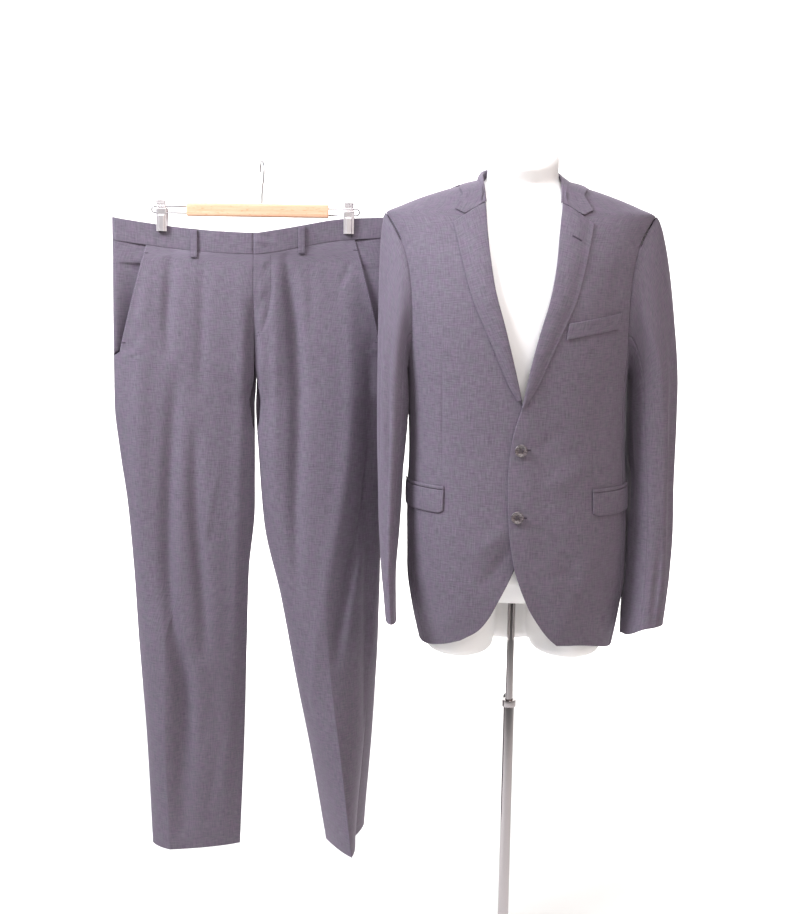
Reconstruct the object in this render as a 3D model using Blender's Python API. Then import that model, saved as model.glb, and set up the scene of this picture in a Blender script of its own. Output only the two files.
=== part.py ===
"""Two-piece suit: a buttoned jacket on a limbless dress form with a telescopic pole, and its
trousers beside it on a clip hanger. Metres, +Z up, the front faces -Y, the origin is the
middle of the base's underside. Left and right are the wearer's: left is +X."""

import math

import bmesh
import bpy
import numpy as np
from mathutils import Matrix, Vector

SIDES = (("left", 1), ("right", -1))

# Cloth
SEAM = 0.0003
JACKET_WALL = 0.0020
TROUSER_WALL = 0.0014
COLLAR_WALL = 0.0018
LAID_ON = 0.0009  # clearance under a piece that lies on a panel
LAID_WALL = 0.0018
OVERLAP_STEP = 0.0037  # how far the lapping front stands over the other
OVERLAP_REACH = 0.045

# Jacket landmarks
HEM_Z = 0.749
HEM_SIDE_DROP = 0.018
ARMPIT_Z = 1.165
SHOULDER_TIP_Z = 1.419
NECKLINE_Z = 1.469
FRONT_SEAM_ANGLE = 68.0
BACK_SEAM_ANGLE = 112.0
ARMHOLE_FRONT_BITE = 27.0
ARMHOLE_BACK_BITE = 24.0
ARMHOLE_ROUNDNESS = 0.8

# Buttons
BUTTON_RADIUS = 0.0098
BUTTON_THICKNESS = 0.0036
BUTTONS = (("button_upper", -0.001, 1.060), ("button_lower", -0.004, 0.957))

# Stand
BASE_RADIUS = 0.18
BASE_THICKNESS = 0.012
HUB_RADIUS = 0.024
HUB_HEIGHT = 0.030
POLE_X = 0.004  # the pole's line; all is laid out about the jacket's, then moved by this
OUTER_POLE_RADIUS = 0.0090
OUTER_POLE_BORE = 0.0070
OUTER_POLE_TOP = 0.618
INNER_POLE_RADIUS = 0.0062
INNER_POLE_BOTTOM = 0.300
INNER_POLE_TOP = 0.860
CLAMP_RADIUS = 0.0115
CLAMP_HEIGHT = 0.012
SCREW_RADIUS = 0.0022
KNOB_RADIUS = 0.0075
KNOB_REACH = 0.030
RUNNING_GAP = 0.0004

# Dress form
NECK_HALF = 0.0562
NECK_TOP_Z = 1.538
NECK_TILT_DROP = 0.030
CROTCH_Z = 0.800
STUB_BOTTOM_Z = 0.716
STUB_DEPTH = 0.088
STUBS = ((-0.0830, 0.0600), (0.0925, 0.0620))
SEAT = dict(x=0.005, y=0.050, half=0.050, depth=0.034)
FORM_COLUMNS = 28

# Hanger
HANGER_Y = 0.120
BAR_ENDS = (-0.549, -0.3112)
BAR_BOTTOM_Z = 1.4140
BAR_TOP_Z = 1.4365
BAR_THICKNESS = 0.0120
ROD_RADIUS = 0.0012
ROD_HEIGHTS = (1.4190, 1.4295)
ROD_END_REACH = 0.0175
CLIPS = (("left", -0.2768), ("right", -0.5907))
CLIP_WIDTH = 0.0165
CLIP_TOP_Z = 1.4395
CLIP_BOTTOM_Z = 1.3885
CLIP_PLATE = 0.0012
HOOK_X = -0.4231
HOOK_RADIUS = 0.0013
HOOK_CROWN_Z = 1.508
HOOK_BEND = 0.0205
HOOK_TURN = 15.0
HOOK_STEM = 0.014
HOOK_ARC = (-78.0, 172.0)


class Table:
    """Rows of named columns. Between rows a column follows a smooth curve with no overshoot."""

    def __init__(self, columns, *rows):
        self.columns = columns.split()
        self.rows = np.array(sorted(rows), dtype=float)
        self.keys = self.rows[:, 0]
        self.slopes = np.array([self.monotone_slopes(i) for i in range(len(self.columns))])

    def monotone_slopes(self, index):
        steps = np.diff(self.keys)
        rises = np.diff(self.rows[:, index]) / steps
        slopes = np.zeros(len(self.keys))
        slopes[0] = rises[0]
        slopes[-1] = rises[-1]
        for i in range(1, len(self.keys) - 1):
            before, after = rises[i - 1], rises[i]
            if before * after > 0:
                slopes[i] = 2 * before * after / (before + after)
        return slopes

    def at(self, name, key):
        index = self.columns.index(name)
        key = min(max(key, self.keys[0]), self.keys[-1])
        i = min(int(np.searchsorted(self.keys, key, side="right")) - 1, len(self.keys) - 2)
        step = self.keys[i + 1] - self.keys[i]
        t = (key - self.keys[i]) / step
        low, high = self.rows[i, index], self.rows[i + 1, index]
        bend_low = self.slopes[index, i] * step
        bend_high = self.slopes[index, i + 1] * step
        return float(
            low * (1 + 2 * t) * (1 - t) ** 2
            + bend_low * t * (1 - t) ** 2
            + high * t * t * (3 - 2 * t)
            + bend_high * t * t * (t - 1)
        )


# The jacket's outside, section by section: middle, half width, depth in front of and behind
# the pole's line, and how square the section is (2 is an ellipse).
BODY = Table(
    "z middle half front back square",
    (0.725, 0.010, 0.1580, 0.127, 0.118, 2.30),
    (0.790, 0.008, 0.1705, 0.136, 0.130, 2.35),
    (0.850, 0.007, 0.1785, 0.141, 0.138, 2.35),
    (0.920, 0.006, 0.1785, 0.142, 0.136, 2.35),
    (0.990, 0.005, 0.1770, 0.140, 0.126, 2.30),
    (1.060, 0.003, 0.1745, 0.138, 0.117, 2.30),
    (1.130, 0.001, 0.1755, 0.139, 0.119, 2.30),
    (1.200, 0.000, 0.1810, 0.140, 0.128, 2.30),
    (1.270, 0.000, 0.1875, 0.136, 0.134, 2.25),
    (1.330, 0.000, 0.1935, 0.122, 0.131, 2.15),
    (1.380, 0.000, 0.2040, 0.098, 0.118, 1.95),
    (1.419, 0.001, 0.2143, 0.073, 0.098, 1.75),
    (1.432, 0.001, 0.1885, 0.066, 0.092, 1.65),
    (1.445, 0.001, 0.1565, 0.059, 0.087, 1.60),
    (1.4585, 0.002, 0.1150, 0.052, 0.082, 1.60),
    (1.469, 0.003, 0.0720, 0.045, 0.078, 1.70),
)

# Free edge of each front: its roll line above the upper button, the cutaway below.
FRONT_EDGE = {
    1: Table(
        "z x",
        (0.7450, 0.0690), (0.7640, 0.0494), (0.7900, 0.0310), (0.8204, 0.0142),
        (0.8783, -0.0067), (0.9444, -0.0169), (1.0131, -0.0197), (1.0760, -0.0144),
        (1.1232, -0.0022), (1.1883, 0.0110), (1.2342, 0.0225), (1.2865, 0.0375),
        (1.3314, 0.0465), (1.3906, 0.0540), (1.4340, 0.0605), (1.4690, 0.0665),
    ),
    -1: Table(
        "z x",
        (0.7450, -0.0900), (0.7693, -0.0588), (0.7930, -0.0435), (0.8171, -0.0319),
        (0.8689, -0.0079), (0.9100, 0.0060), (0.9600, 0.0120), (1.0200, 0.0130),
        (1.0800, 0.0090), (1.1232, 0.0010), (1.1883, -0.0145), (1.2420, -0.0285),
        (1.3119, -0.0470), (1.3889, -0.0565), (1.4340, -0.0590), (1.4690, -0.0650),
    ),
}

SIDE_ROWS = (0.749, 0.775, 0.810, 0.855, 0.905, 0.955, 1.010, 1.065, 1.120)
FRONT_EXTRA_ROWS = (0.759, 0.792, 0.832, 0.880, 1.165)
SHOULDER_ROWS = (1.432, 1.445, 1.4585, 1.469)
# Notches round the armhole in degrees: 0 at the armpit, 90 in front, 180 on the shoulder.
UNDER_NOTCHES = (-58, -36, -15, 0, 15, 38, 62)
TOP_NOTCHES = (62, 86, 110, 134, 158, 180, 202, 226, 250, 274, 302)

# Lapel: where each row meets the roll line and where it meets the outer edge.
LAPEL = Table(
    "row fold_z edge_x edge_z",
    (0.00, 1.1290, 0.0062, 1.1250),
    (0.11, 1.1600, 0.0228, 1.1590),
    (0.26, 1.2070, 0.0423, 1.2036),
    (0.41, 1.2540, 0.0619, 1.2479),
    (0.51, 1.2840, 0.0743, 1.2759),
    (0.65, 1.3260, 0.0869, 1.3144),
    (0.83, 1.3820, 0.0991, 1.3635),
    (1.00, 1.4330, 0.1083, 1.4035),
)
LAPEL_START = {1: 0.0, -1: 0.03}
LAPEL_ROWS = 13
LAPEL_COLUMNS = 4
LAPEL_ROLL = 0.0030  # how far the roll stands off the chest at the fold

# Collar, from the centre back (0) to its front end (1): the neckline seam, the fold, and the
# fall's course over the shoulder, as places on the jacket's outside.
COLLAR = Table(
    "station neck_angle neck_z fold_x fold_y fold_z"
    " foot_angle foot_z middle_angle middle_z edge_angle edge_z",
    (0.0, 180, 1.4690, 0.0000, 0.0725, 1.4990, 180, 1.4660, 180, 1.4570, 180, 1.4460),
    (0.2, 151, 1.4690, 0.0335, 0.0630, 1.4970, 152, 1.4660, 152, 1.4575, 151, 1.4470),
    (0.4, 122, 1.4690, 0.0550, 0.0370, 1.4905, 122, 1.4670, 122, 1.4600, 120, 1.4500),
    (0.5, 106, 1.4690, 0.0615, 0.0185, 1.4865, 106, 1.4684, 106, 1.4650, 105, 1.4590),
    (0.6, 90, 1.4690, 0.0632, -0.0020, 1.4815, 90, 1.4690, 90, 1.4680, 90, 1.4655),
    (0.7, 66, 1.4690, 0.0622, -0.0210, 1.4755, 56, 1.4650, 60, 1.4610, 64, 1.4585),
    (0.8, 45, 1.4600, 0.0615, -0.0380, 1.4650, 38, 1.4560, 40, 1.4505, 43, 1.4470),
    (0.9, 38, 1.4470, 0.0605, -0.0500, 1.4510, 29, 1.4430, 32, 1.4335, 38, 1.4350),
    (1.0, 31, 1.4352, 0.0590, -0.0610, 1.4380, 25, 1.4262, 28, 1.4160, 34, 1.4235),
)
COLLAR_STATIONS = 21
COLLAR_FOLD = 0.0060
COLLAR_OUT = 0.0035
STAND_INSET = 0.0014

# Sleeves below the armhole: middle, half width across, half depth, turn about the vertical.
SLEEVE = {
    1: Table(
        "z x y half depth turn",
        (0.765, 0.2080, -0.0600, 0.0305, 0.0600, 6),
        (0.800, 0.2100, -0.0540, 0.0310, 0.0620, 8),
        (0.860, 0.2130, -0.0420, 0.0325, 0.0650, 10),
        (0.920, 0.2150, -0.0300, 0.0345, 0.0690, 10),
        (0.996, 0.2165, -0.0160, 0.0360, 0.0740, 8),
        (1.060, 0.2180, -0.0060, 0.0375, 0.0780, 4),
        (1.130, 0.2190, 0.0000, 0.0385, 0.0800, 0),
    ),
    -1: Table(
        "z x y half depth turn",
        (0.765, -0.1952, -0.0550, 0.0090, 0.0680, 0),
        (0.800, -0.1975, -0.0480, 0.0100, 0.0680, 0),
        (0.860, -0.2005, -0.0360, 0.0130, 0.0700, 0),
        (0.920, -0.2003, -0.0220, 0.0173, 0.0730, 0),
        (0.996, -0.1990, -0.0080, 0.0214, 0.0770, 0),
        (1.060, -0.1970, -0.0020, 0.0255, 0.0800, 0),
        (1.130, -0.1955, 0.0000, 0.0280, 0.0820, 0),
    ),
}
SLEEVE_ROWS = (1.130, 1.095, 1.055, 1.010, 0.965, 0.925, 0.885, 0.845, 0.805, 0.765)
CAP_ROWS = 6
CUFF_SLANT_TOP_Z = 0.900
CUFF_SLANT = {1: (-0.0022, 0.0164, -0.0066), -1: (0.0041, 0.0105, -0.0006)}
CAP_REACH = {1: 0.016, -1: 0.012}
SLEEVE_WALL = 0.0018
SLEEVE_CLEAR = 0.0028
SLEEVE_CLEAR_OF_POCKET = 0.0060

POCKET_INNER = {1: 34.5, -1: 40.0}
POCKET_OUTER = 90.0
FLAP_HEIGHTS = (0.9925, 0.9560)
JET_HEIGHTS = (0.9985, 0.9935)
FLAP_CORNER = 0.005
WELT = Table(
    "along top_x top_z bottom_x bottom_z",
    (0, 0.0668, 1.2530, 0.0632, 1.2285), (1, 0.1512, 1.2690, 0.1462, 1.2445),
)

# The inset of the form from the jacket's outside; it touches at the shoulders alone.
FORM_INSET = Table(
    "z inset",
    (0.80, 0.012), (0.90, 0.010), (1.00, 0.014), (1.06, 0.017), (1.15, 0.012), (1.25, 0.0085),
    (1.33, 0.0065), (1.38, 0.0052), (1.419, 0.0042), (1.469, 0.0052),
)

# Waist of the trousers along its width: top and seam heights, and how far front and back
# stand apart between the clips.
WAIST = Table(
    "x top seam front back",
    (-0.6752, 1.4110, 1.3730, 0.1200, 0.1200),
    (-0.6700, 1.4100, 1.3720, 0.1172, 0.1228),
    (-0.5993, 1.3998, 1.3630, 0.1172, 0.1228),
    (-0.5822, 1.3975, 1.3608, 0.1172, 0.1228),
    (-0.5360, 1.3930, 1.3565, 0.1115, 0.1290),
    (-0.4870, 1.3895, 1.3535, 0.1045, 0.1360),
    (-0.4355, 1.3880, 1.3525, 0.1010, 0.1390),
    (-0.4000, 1.3930, 1.3565, 0.1025, 0.1380),
    (-0.3548, 1.4015, 1.3655, 0.1085, 0.1325),
    (-0.3113, 1.4100, 1.3740, 0.1145, 0.1260),
    (-0.2853, 1.4135, 1.3778, 0.1172, 0.1228),
    (-0.2160, 1.4172, 1.3830, 0.1172, 0.1228),
    (-0.2113, 1.4175, 1.3835, 0.1200, 0.1200),
)
CENTRE_X = -0.4355
# Stations along the waist of each half, from its side to the centre.
WAIST_STATIONS = {
    (1, -1): (-0.2668, -0.2853, -0.3050, -0.3300, -0.3548, -0.3800, -0.4000, -0.4180, -0.43535),
    (1, 1): (-0.2113, -0.2160, -0.2500, -0.2683, -0.2853, -0.3200, -0.3600, -0.4000, -0.43535),
    (-1, -1): (-0.6184, -0.6080, -0.5993, -0.5822, -0.5600, -0.5250, -0.4850, -0.4600, -0.43565),
    (-1, 1): (-0.6752, -0.6700, -0.6300, -0.5993, -0.5822, -0.5500, -0.5100, -0.4700, -0.43565),
}
FACING_STATIONS = {
    1: (-0.2113, -0.2160, -0.2300, -0.2480, -0.2668, -0.2800),
    -1: (-0.6752, -0.6700, -0.6520, -0.6360, -0.6184, -0.6060),
}

# Legs, section by section: side seam, front crease, inside seam (its front and back part
# above the fork), back crease; how round the inner half is, how crisp the crease is and how
# far the section is turned.
LEG_COLUMNS = "z side_x side_y front_x front_y inner_x inner_front inner_back back_x back_y round crisp turn"
LEG = {
    -1: Table(
        LEG_COLUMNS,
        (0.305, -0.6184, 0.121, -0.5705, 0.0790, -0.4618, 0.1190, 0.1190, -0.5110, 0.1630, 1, 0.65, 0),
        (0.505, -0.6269, 0.120, -0.5700, 0.0780, -0.4535, 0.1200, 0.1200, -0.5180, 0.1630, 1, 0.50, 0),
        (0.680, -0.6389, 0.120, -0.5660, 0.0790, -0.4485, 0.1200, 0.1200, -0.5280, 0.1620, 1, 0.35, 0),
        (0.804, -0.6460, 0.120, -0.5600, 0.0810, -0.4450, 0.1200, 0.1200, -0.5370, 0.1610, 1, 0.20, 0),
        (0.923, -0.6555, 0.120, -0.5560, 0.0840, -0.4345, 0.1200, 0.1200, -0.5450, 0.1600, 1, 0.10, 0),
        (1.020, -0.6680, 0.120, -0.5560, 0.0870, -0.4345, 0.1200, 0.1200, -0.5520, 0.1580, 1, 0, 0),
        (1.095, -0.6755, 0.120, -0.5590, 0.0895, -0.4346, 0.1195, 0.1205, -0.5550, 0.1560, 0.9, 0, 0),
        (1.125, -0.6757, 0.120, -0.5600, 0.0905, -0.4348, 0.1070, 0.1380, -0.5550, 0.1560, 0.5, 0, 0),
        (1.170, -0.6757, 0.120, -0.5630, 0.0930, -0.4351, 0.0985, 0.1465, -0.5600, 0.1520, 0, 0, 0),
        (1.240, -0.6757, 0.120, -0.5700, 0.0980, -0.4354, 0.0975, 0.1465, -0.5650, 0.1460, 0, 0, 0),
        (1.300, -0.6755, 0.120, -0.5800, 0.1045, -0.4356, 0.0985, 0.1435, -0.5800, 0.1370, 0, 0, 0),
        (1.350, -0.6752, 0.120, -0.5907, 0.1140, -0.43565, 0.1005, 0.1395, -0.5907, 0.1260, 0, 0, 0),
    ),
    1: Table(
        LEG_COLUMNS,
        (0.308, -0.2570, 0.144, -0.2585, 0.0600, -0.3085, 0.1380, 0.1380, -0.2415, 0.2140, 1, 0.60, 1),
        (0.478, -0.2425, 0.131, -0.2785, 0.0610, -0.3363, 0.1280, 0.1280, -0.2370, 0.2060, 1, 0.50, 1),
        (0.638, -0.2315, 0.122, -0.2990, 0.0660, -0.3668, 0.1190, 0.1190, -0.2440, 0.1960, 1, 0.35, 1),
        (0.763, -0.2225, 0.122, -0.3080, 0.0720, -0.3901, 0.1200, 0.1200, -0.2660, 0.1870, 1, 0.20, 1),
        (0.893, -0.2145, 0.123, -0.3120, 0.0790, -0.4192, 0.1200, 0.1200, -0.2900, 0.1750, 1, 0.10, 0.3),
        (1.020, -0.2115, 0.122, -0.3120, 0.0850, -0.4290, 0.1200, 0.1200, -0.3000, 0.1650, 1, 0, 0),
        (1.095, -0.2108, 0.121, -0.3110, 0.0890, -0.4340, 0.1195, 0.1205, -0.3050, 0.1590, 0.9, 0, 0),
        (1.125, -0.2108, 0.120, -0.3110, 0.0905, -0.4344, 0.1070, 0.1380, -0.3050, 0.1560, 0.5, 0, 0),
        (1.170, -0.2108, 0.120, -0.3100, 0.0930, -0.4347, 0.0985, 0.1465, -0.3050, 0.1520, 0, 0, 0),
        (1.240, -0.2108, 0.120, -0.3030, 0.0980, -0.4350, 0.0975, 0.1465, -0.3000, 0.1460, 0, 0, 0),
        (1.300, -0.2110, 0.120, -0.2900, 0.1045, -0.4353, 0.0985, 0.1435, -0.2900, 0.1370, 0, 0, 0),
        (1.350, -0.2113, 0.120, -0.2768, 0.1140, -0.43535, 0.1005, 0.1395, -0.2768, 0.1260, 0, 0, 0),
    ),
}
LEG_HEM = {1: 0.308, -1: 0.305}
LEG_ROWS = (
    1.335, 1.310, 1.275, 1.235, 1.196, 1.176, 1.145, 1.118, 1.096, 1.070, 1.020, 0.960, 0.900,
    0.830, 0.760, 0.690, 0.620, 0.550, 0.480, 0.410, 0.360,
)
QUARTER_STEPS = 4
MITRE_REACH = 0.004
FORK_Z = 1.110
BELOW_WAIST_ROW = 0.0003

# Slant pocket mouths, from the waist seam down to the side seam.
SLANT = {
    -1: Table("z x", (1.183, -0.6640), (1.3650, -0.6184)),
    1: Table("z x", (1.190, -0.2190), (1.2414, -0.2290), (1.3830, -0.2668)),
}
FACING_DEPTH = 0.0019
FACING_SINK = 0.0018
FACING_UNDERLAP = 0.16
FACING_ROWS = (1.335, 1.310, 1.275, 1.235, 1.196)
FACING_SHARES = (0.0, 0.10, 0.32, 0.62, 1.0, 1.2)

# Large hanging folds of the trousers: troughs that run from top to bottom.
FOLDS = Table(
    "order leg face top_x top_z bottom_x bottom_z depth width",
    (0, -1, -1, -0.587, 1.330, -0.611, 0.860, 0.0040, 0.012),
    (1, -1, -1, -0.532, 1.300, -0.548, 0.700, 0.0022, 0.014),
    (2, 1, -1, -0.386, 1.330, -0.372, 0.860, 0.0070, 0.014),
    (3, 1, -1, -0.236, 1.090, -0.312, 0.680, 0.0060, 0.015),
    (4, 1, -1, -0.330, 1.250, -0.336, 0.900, 0.0025, 0.013),
    (5, -1, 1, -0.600, 1.300, -0.606, 0.900, 0.0040, 0.014),
    (6, -1, 1, -0.500, 1.320, -0.520, 0.800, 0.0045, 0.015),
    (7, 1, 1, -0.375, 1.310, -0.362, 0.850, 0.0045, 0.014),
    (8, 1, 1, -0.255, 1.250, -0.265, 0.900, 0.0035, 0.013),
)

BELT_LOOPS = (
    ("belt_loop_front_left", -0.3548, "front"),
    ("belt_loop_front_right", -0.5360, "front"),
    ("belt_loop_back_left", -0.3200, "back"),
    ("belt_loop_back_centre", -0.4355, "back"),
    ("belt_loop_back_right", -0.5450, "back"),
)
LOOP_WIDTH = 0.0110
LOOP_WALL = 0.0015
LOOP_RISE = 0.0042


def clear_scene():
    for thing in list(bpy.data.objects):
        bpy.data.objects.remove(thing, do_unlink=True)


def material(name, colour, roughness, metallic=0.0):
    made = bpy.data.materials.new(name)
    made.use_nodes = True
    shader = made.node_tree.nodes["Principled BSDF"]
    shader.inputs["Base Color"].default_value = (*colour, 1.0)
    shader.inputs["Roughness"].default_value = roughness
    shader.inputs["Metallic"].default_value = metallic
    return made


def add_mesh(name, points, faces, made_of):
    """One object, its faces turned outward."""
    mesh = bpy.data.meshes.new(name)
    mesh.from_pydata([tuple(p) for p in points], [], faces)
    shape = bmesh.new()
    shape.from_mesh(mesh)
    bmesh.ops.recalc_face_normals(shape, faces=shape.faces)
    shape.to_mesh(mesh)
    shape.free()
    mesh.materials.append(made_of)
    thing = bpy.data.objects.new(name, mesh)
    bpy.context.collection.objects.link(thing)
    return thing


def smooth_step(value):
    value = min(max(value, 0.0), 1.0)
    return value * value * (3 - 2 * value)


def spread(low, high, steps):
    return [low + (high - low) * i / steps for i in range(steps + 1)]


def wall(name, outer, inner, made_of):
    """A closed wall between two grids of points of the same size."""
    rows, columns = len(outer), len(outer[0])
    points = [p for row in outer for p in row] + [p for row in inner for p in row]
    under = rows * columns
    faces = []
    for i in range(rows - 1):
        for j in range(columns - 1):
            a = i * columns + j
            quad = (a, a + 1, a + columns + 1, a + columns)
            faces.append(quad)
            faces.append(tuple(under + k for k in reversed(quad)))
    rim = [j for j in range(columns)]
    rim += [i * columns + columns - 1 for i in range(1, rows)]
    rim += [(rows - 1) * columns + j for j in range(columns - 2, -1, -1)]
    rim += [i * columns for i in range(rows - 2, 0, -1)]
    for a, b in zip(rim, rim[1:] + rim[:1]):
        faces.append((b, a, under + a, under + b))
    return add_mesh(name, points, faces, made_of)


def grid_normals(grid):
    """Unit normals of a grid of points, by central differences."""
    net = np.array([[tuple(p) for p in row] for row in grid])
    down = np.gradient(net, axis=0)
    across = np.gradient(net, axis=1)
    normals = np.cross(down, across)
    return normals / np.linalg.norm(normals, axis=2, keepdims=True)


def wall_from_grid(name, grid, thickness, made_of):
    """A wall whose outside is the grid; thickness is along minus the grid's normal."""
    normals = grid_normals(grid)
    inner = [
        [p - Vector(n) * thickness for p, n in zip(row, normal_row)]
        for row, normal_row in zip(grid, normals)
    ]
    return wall(name, grid, inner, made_of)


def mitred_wall(name, grid, recess, outward, face, seams, made_of):
    """A wall of the trousers, set back under a grid by a recess for each point; outward is
    the sign of the grid's normal. At the columns named by seams the wall stops at the plane
    between front and back, where they meet edge to edge."""
    normals = grid_normals(grid)
    layers = []
    for extra in (0.0, TROUSER_WALL):
        layer = []
        for row, normal_row, depths in zip(grid, normals, recess):
            moved = [
                p - Vector(n) * outward * (depth + extra)
                for p, n, depth in zip(row, normal_row, depths)
            ]
            for end in seams:
                if end < 0 and row[end].z > FORK_Z:
                    continue
                seam_y = row[end].y
                for point in moved:
                    if abs(point.x - row[end].x) < MITRE_REACH:
                        point.y = face * max(face * point.y, face * seam_y)
            layer.append(moved)
        layers.append(layer)
    return wall(name, layers[0], layers[1], made_of)


def loft(name, rings, made_of):
    """A solid through closed rings, its two ends closed to their middles."""
    count = len(rings[0])
    points = [p for ring in rings for p in ring]
    faces = []
    for i in range(len(rings) - 1):
        for j in range(count):
            k = (j + 1) % count
            faces.append((i * count + j, i * count + k, (i + 1) * count + k, (i + 1) * count + j))
    for ring, start in ((rings[0], 0), (rings[-1], (len(rings) - 1) * count)):
        middle = len(points)
        points.append(sum((Vector(p) for p in ring), Vector()) / count)
        faces += [(middle, start + j, start + (j + 1) % count) for j in range(count)]
    return add_mesh(name, points, faces, made_of)


def turned(name, profile, segments, made_of, place=Matrix()):
    """A solid of revolution about Z from a closed profile of (radius, height) points. A
    profile that starts and ends on the axis has no bore."""
    on_axis = profile[0][0] == 0.0
    points, faces, rings = [], [], []
    for radius, height in profile:
        start = len(points)
        if radius == 0.0:
            points.append(Vector((0, 0, height)))
            rings.append([start] * segments)
            continue
        for k in range(segments):
            angle = 2 * math.pi * k / segments
            points.append(Vector((radius * math.cos(angle), radius * math.sin(angle), height)))
        rings.append([start + k for k in range(segments)])
    pairs = list(zip(rings, rings[1:]))
    if not on_axis:
        pairs.append((rings[-1], rings[0]))
    for low, high in pairs:
        for k in range(segments):
            m = (k + 1) % segments
            corners = (low[k], low[m], high[m], high[k])
            faces.append(tuple(dict.fromkeys(corners)))
    return add_mesh(name, [place @ p for p in points], faces, made_of)


def rod(name, path, radius, sides, made_of):
    """A round rod along a path in one plane or a gentle curve."""
    frames = []
    side = None
    for i, point in enumerate(path):
        along = (path[min(i + 1, len(path) - 1)] - path[max(i - 1, 0)]).normalized()
        if side is None:
            side = along.orthogonal().normalized()
        side = (side - along * side.dot(along)).normalized()
        frames.append((point, side, along.cross(side)))
    rings = [
        [
            point
            + radius * math.cos(2 * math.pi * k / sides) * side
            + radius * math.sin(2 * math.pi * k / sides) * up
            for k in range(sides)
        ]
        for point, side, up in frames
    ]
    return loft(name, rings, made_of)


# ---------------------------------------------------------------- the jacket's outside


def body_point(angle, z):
    """A point of the jacket's outside: angle 0 is the centre front, 90 the wearer's left
    side, -90 the right, 180 the centre back."""
    middle = BODY.at("middle", z)
    half = BODY.at("half", z)
    power = 2.0 / BODY.at("square", z)
    turn = math.radians(angle)
    sine, cosine = math.sin(turn), math.cos(turn)
    depth = BODY.at("front" if cosine > 0 else "back", z)
    x = middle + half * math.copysign(abs(sine) ** power, sine)
    y = -depth * math.copysign(abs(cosine) ** power, cosine)
    return Vector((x, y, z))


def body_normal(angle, z):
    turn_step, height_step = 1.0, 0.002
    around = body_point(angle + turn_step, z) - body_point(angle - turn_step, z)
    up = body_point(angle, min(z + height_step, NECKLINE_Z))
    up -= body_point(angle, z - height_step)
    return around.cross(up).normalized()


def on_body(angle, z, out=0.0):
    return body_point(angle, z) + body_normal(angle, z) * out


def front_angle(x, z):
    """The angle at which the front has this x."""
    part = (x - BODY.at("middle", z)) / BODY.at("half", z)
    part = min(max(part, -1.0), 1.0)
    sine = abs(part) ** (BODY.at("square", z) / 2)
    return math.degrees(math.copysign(math.asin(sine), part))


def seam_angle(angle, z, away):
    """An angle moved off a seam by half its gap; away is +1 or -1."""
    seam = body_point(angle, z)
    low, high = 0.0, 8.0
    for _ in range(20):
        middle = (low + high) / 2
        if (body_point(angle + away * middle, z) - seam).length < SEAM * 0.6:
            low = middle
        else:
            high = middle
    return angle + away * high


def armhole_angle(turn, bite):
    """Angle of the armhole at a share of its way round: 0 and 1 at the armpit, 0.5 on top."""
    return 90.0 - bite * abs(math.sin(2 * math.pi * turn)) ** ARMHOLE_ROUNDNESS


def armhole_z(turn):
    rise = SHOULDER_TIP_Z - ARMPIT_Z
    return ARMPIT_Z + rise * (1 - math.cos(2 * math.pi * turn)) / 2


def armhole_turn(z):
    share = (z - ARMPIT_Z) / (SHOULDER_TIP_Z - ARMPIT_Z)
    return math.acos(1 - 2 * min(max(share, 0.0), 1.0)) / (2 * math.pi)


def front_side_angle(z):
    """Where the front ends at its side: side seam, then armhole, then shoulder seam."""
    if z <= ARMPIT_Z:
        return FRONT_SEAM_ANGLE
    if z >= SHOULDER_TIP_Z:
        return 90.0
    armhole = armhole_angle(armhole_turn(z), ARMHOLE_FRONT_BITE)
    if z < (ARMPIT_Z + SHOULDER_TIP_Z) / 2:
        return min(FRONT_SEAM_ANGLE, armhole)
    return armhole


def back_side_angle(z):
    if z <= ARMPIT_Z:
        return BACK_SEAM_ANGLE
    if z >= SHOULDER_TIP_Z:
        return 90.0
    armhole = 180.0 - armhole_angle(armhole_turn(z), ARMHOLE_BACK_BITE)
    if z < (ARMPIT_Z + SHOULDER_TIP_Z) / 2:
        return max(BACK_SEAM_ANGLE, armhole)
    return armhole


def hem_height(z, angle):
    """The hem drops from the fronts to the sides and runs level round the back."""
    share = smooth_step((abs(angle) - 25.0) / 50.0)
    fade = smooth_step(1 - (z - HEM_Z) / 0.09)
    return z - HEM_SIDE_DROP * share * fade


def lap(x, z, side):
    """How far the left front stands out where it laps over the right."""
    if side < 0:
        return 0.0
    near = smooth_step((OVERLAP_REACH - x) / OVERLAP_REACH)
    return OVERLAP_STEP * near * smooth_step((z - 0.70) / 0.10) * smooth_step((1.25 - z) / 0.10)


def on_front(x, z, side, out=0.0):
    angle = front_angle(x, z)
    return on_body(angle, z, out + lap(x, z, side))


def body_wall(name, angle_rows, side, made_of):
    """A panel of the jacket's body from rows of (angle, z), moved in for its thickness."""
    def grid(out):
        return [
            [on_body(angle, z, out + lap(body_point(angle, z).x, z, side)) for angle, z in row]
            for row in angle_rows
        ]
    return wall(name, grid(0.0), grid(-JACKET_WALL), made_of)


def notch_heights(notches):
    return [armhole_z(abs(notch) / 360.0) for notch in notches]


def jacket_front(name, side, made_of):
    armhole_rows = notch_heights((38,) + TOP_NOTCHES[:6])
    rows = []
    for z in sorted(SIDE_ROWS + FRONT_EXTRA_ROWS + SHOULDER_ROWS + tuple(armhole_rows)):
        start = front_angle(FRONT_EDGE[side].at("x", z), z)
        stop = seam_angle(side * front_side_angle(z), z, -side)
        row = []
        for share in spread(0.0, 1.0, 10):
            angle = start + (stop - start) * share
            row.append((angle, hem_height(z, angle)))
        rows.append(row)
    return body_wall(name, rows, side, made_of)


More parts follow.
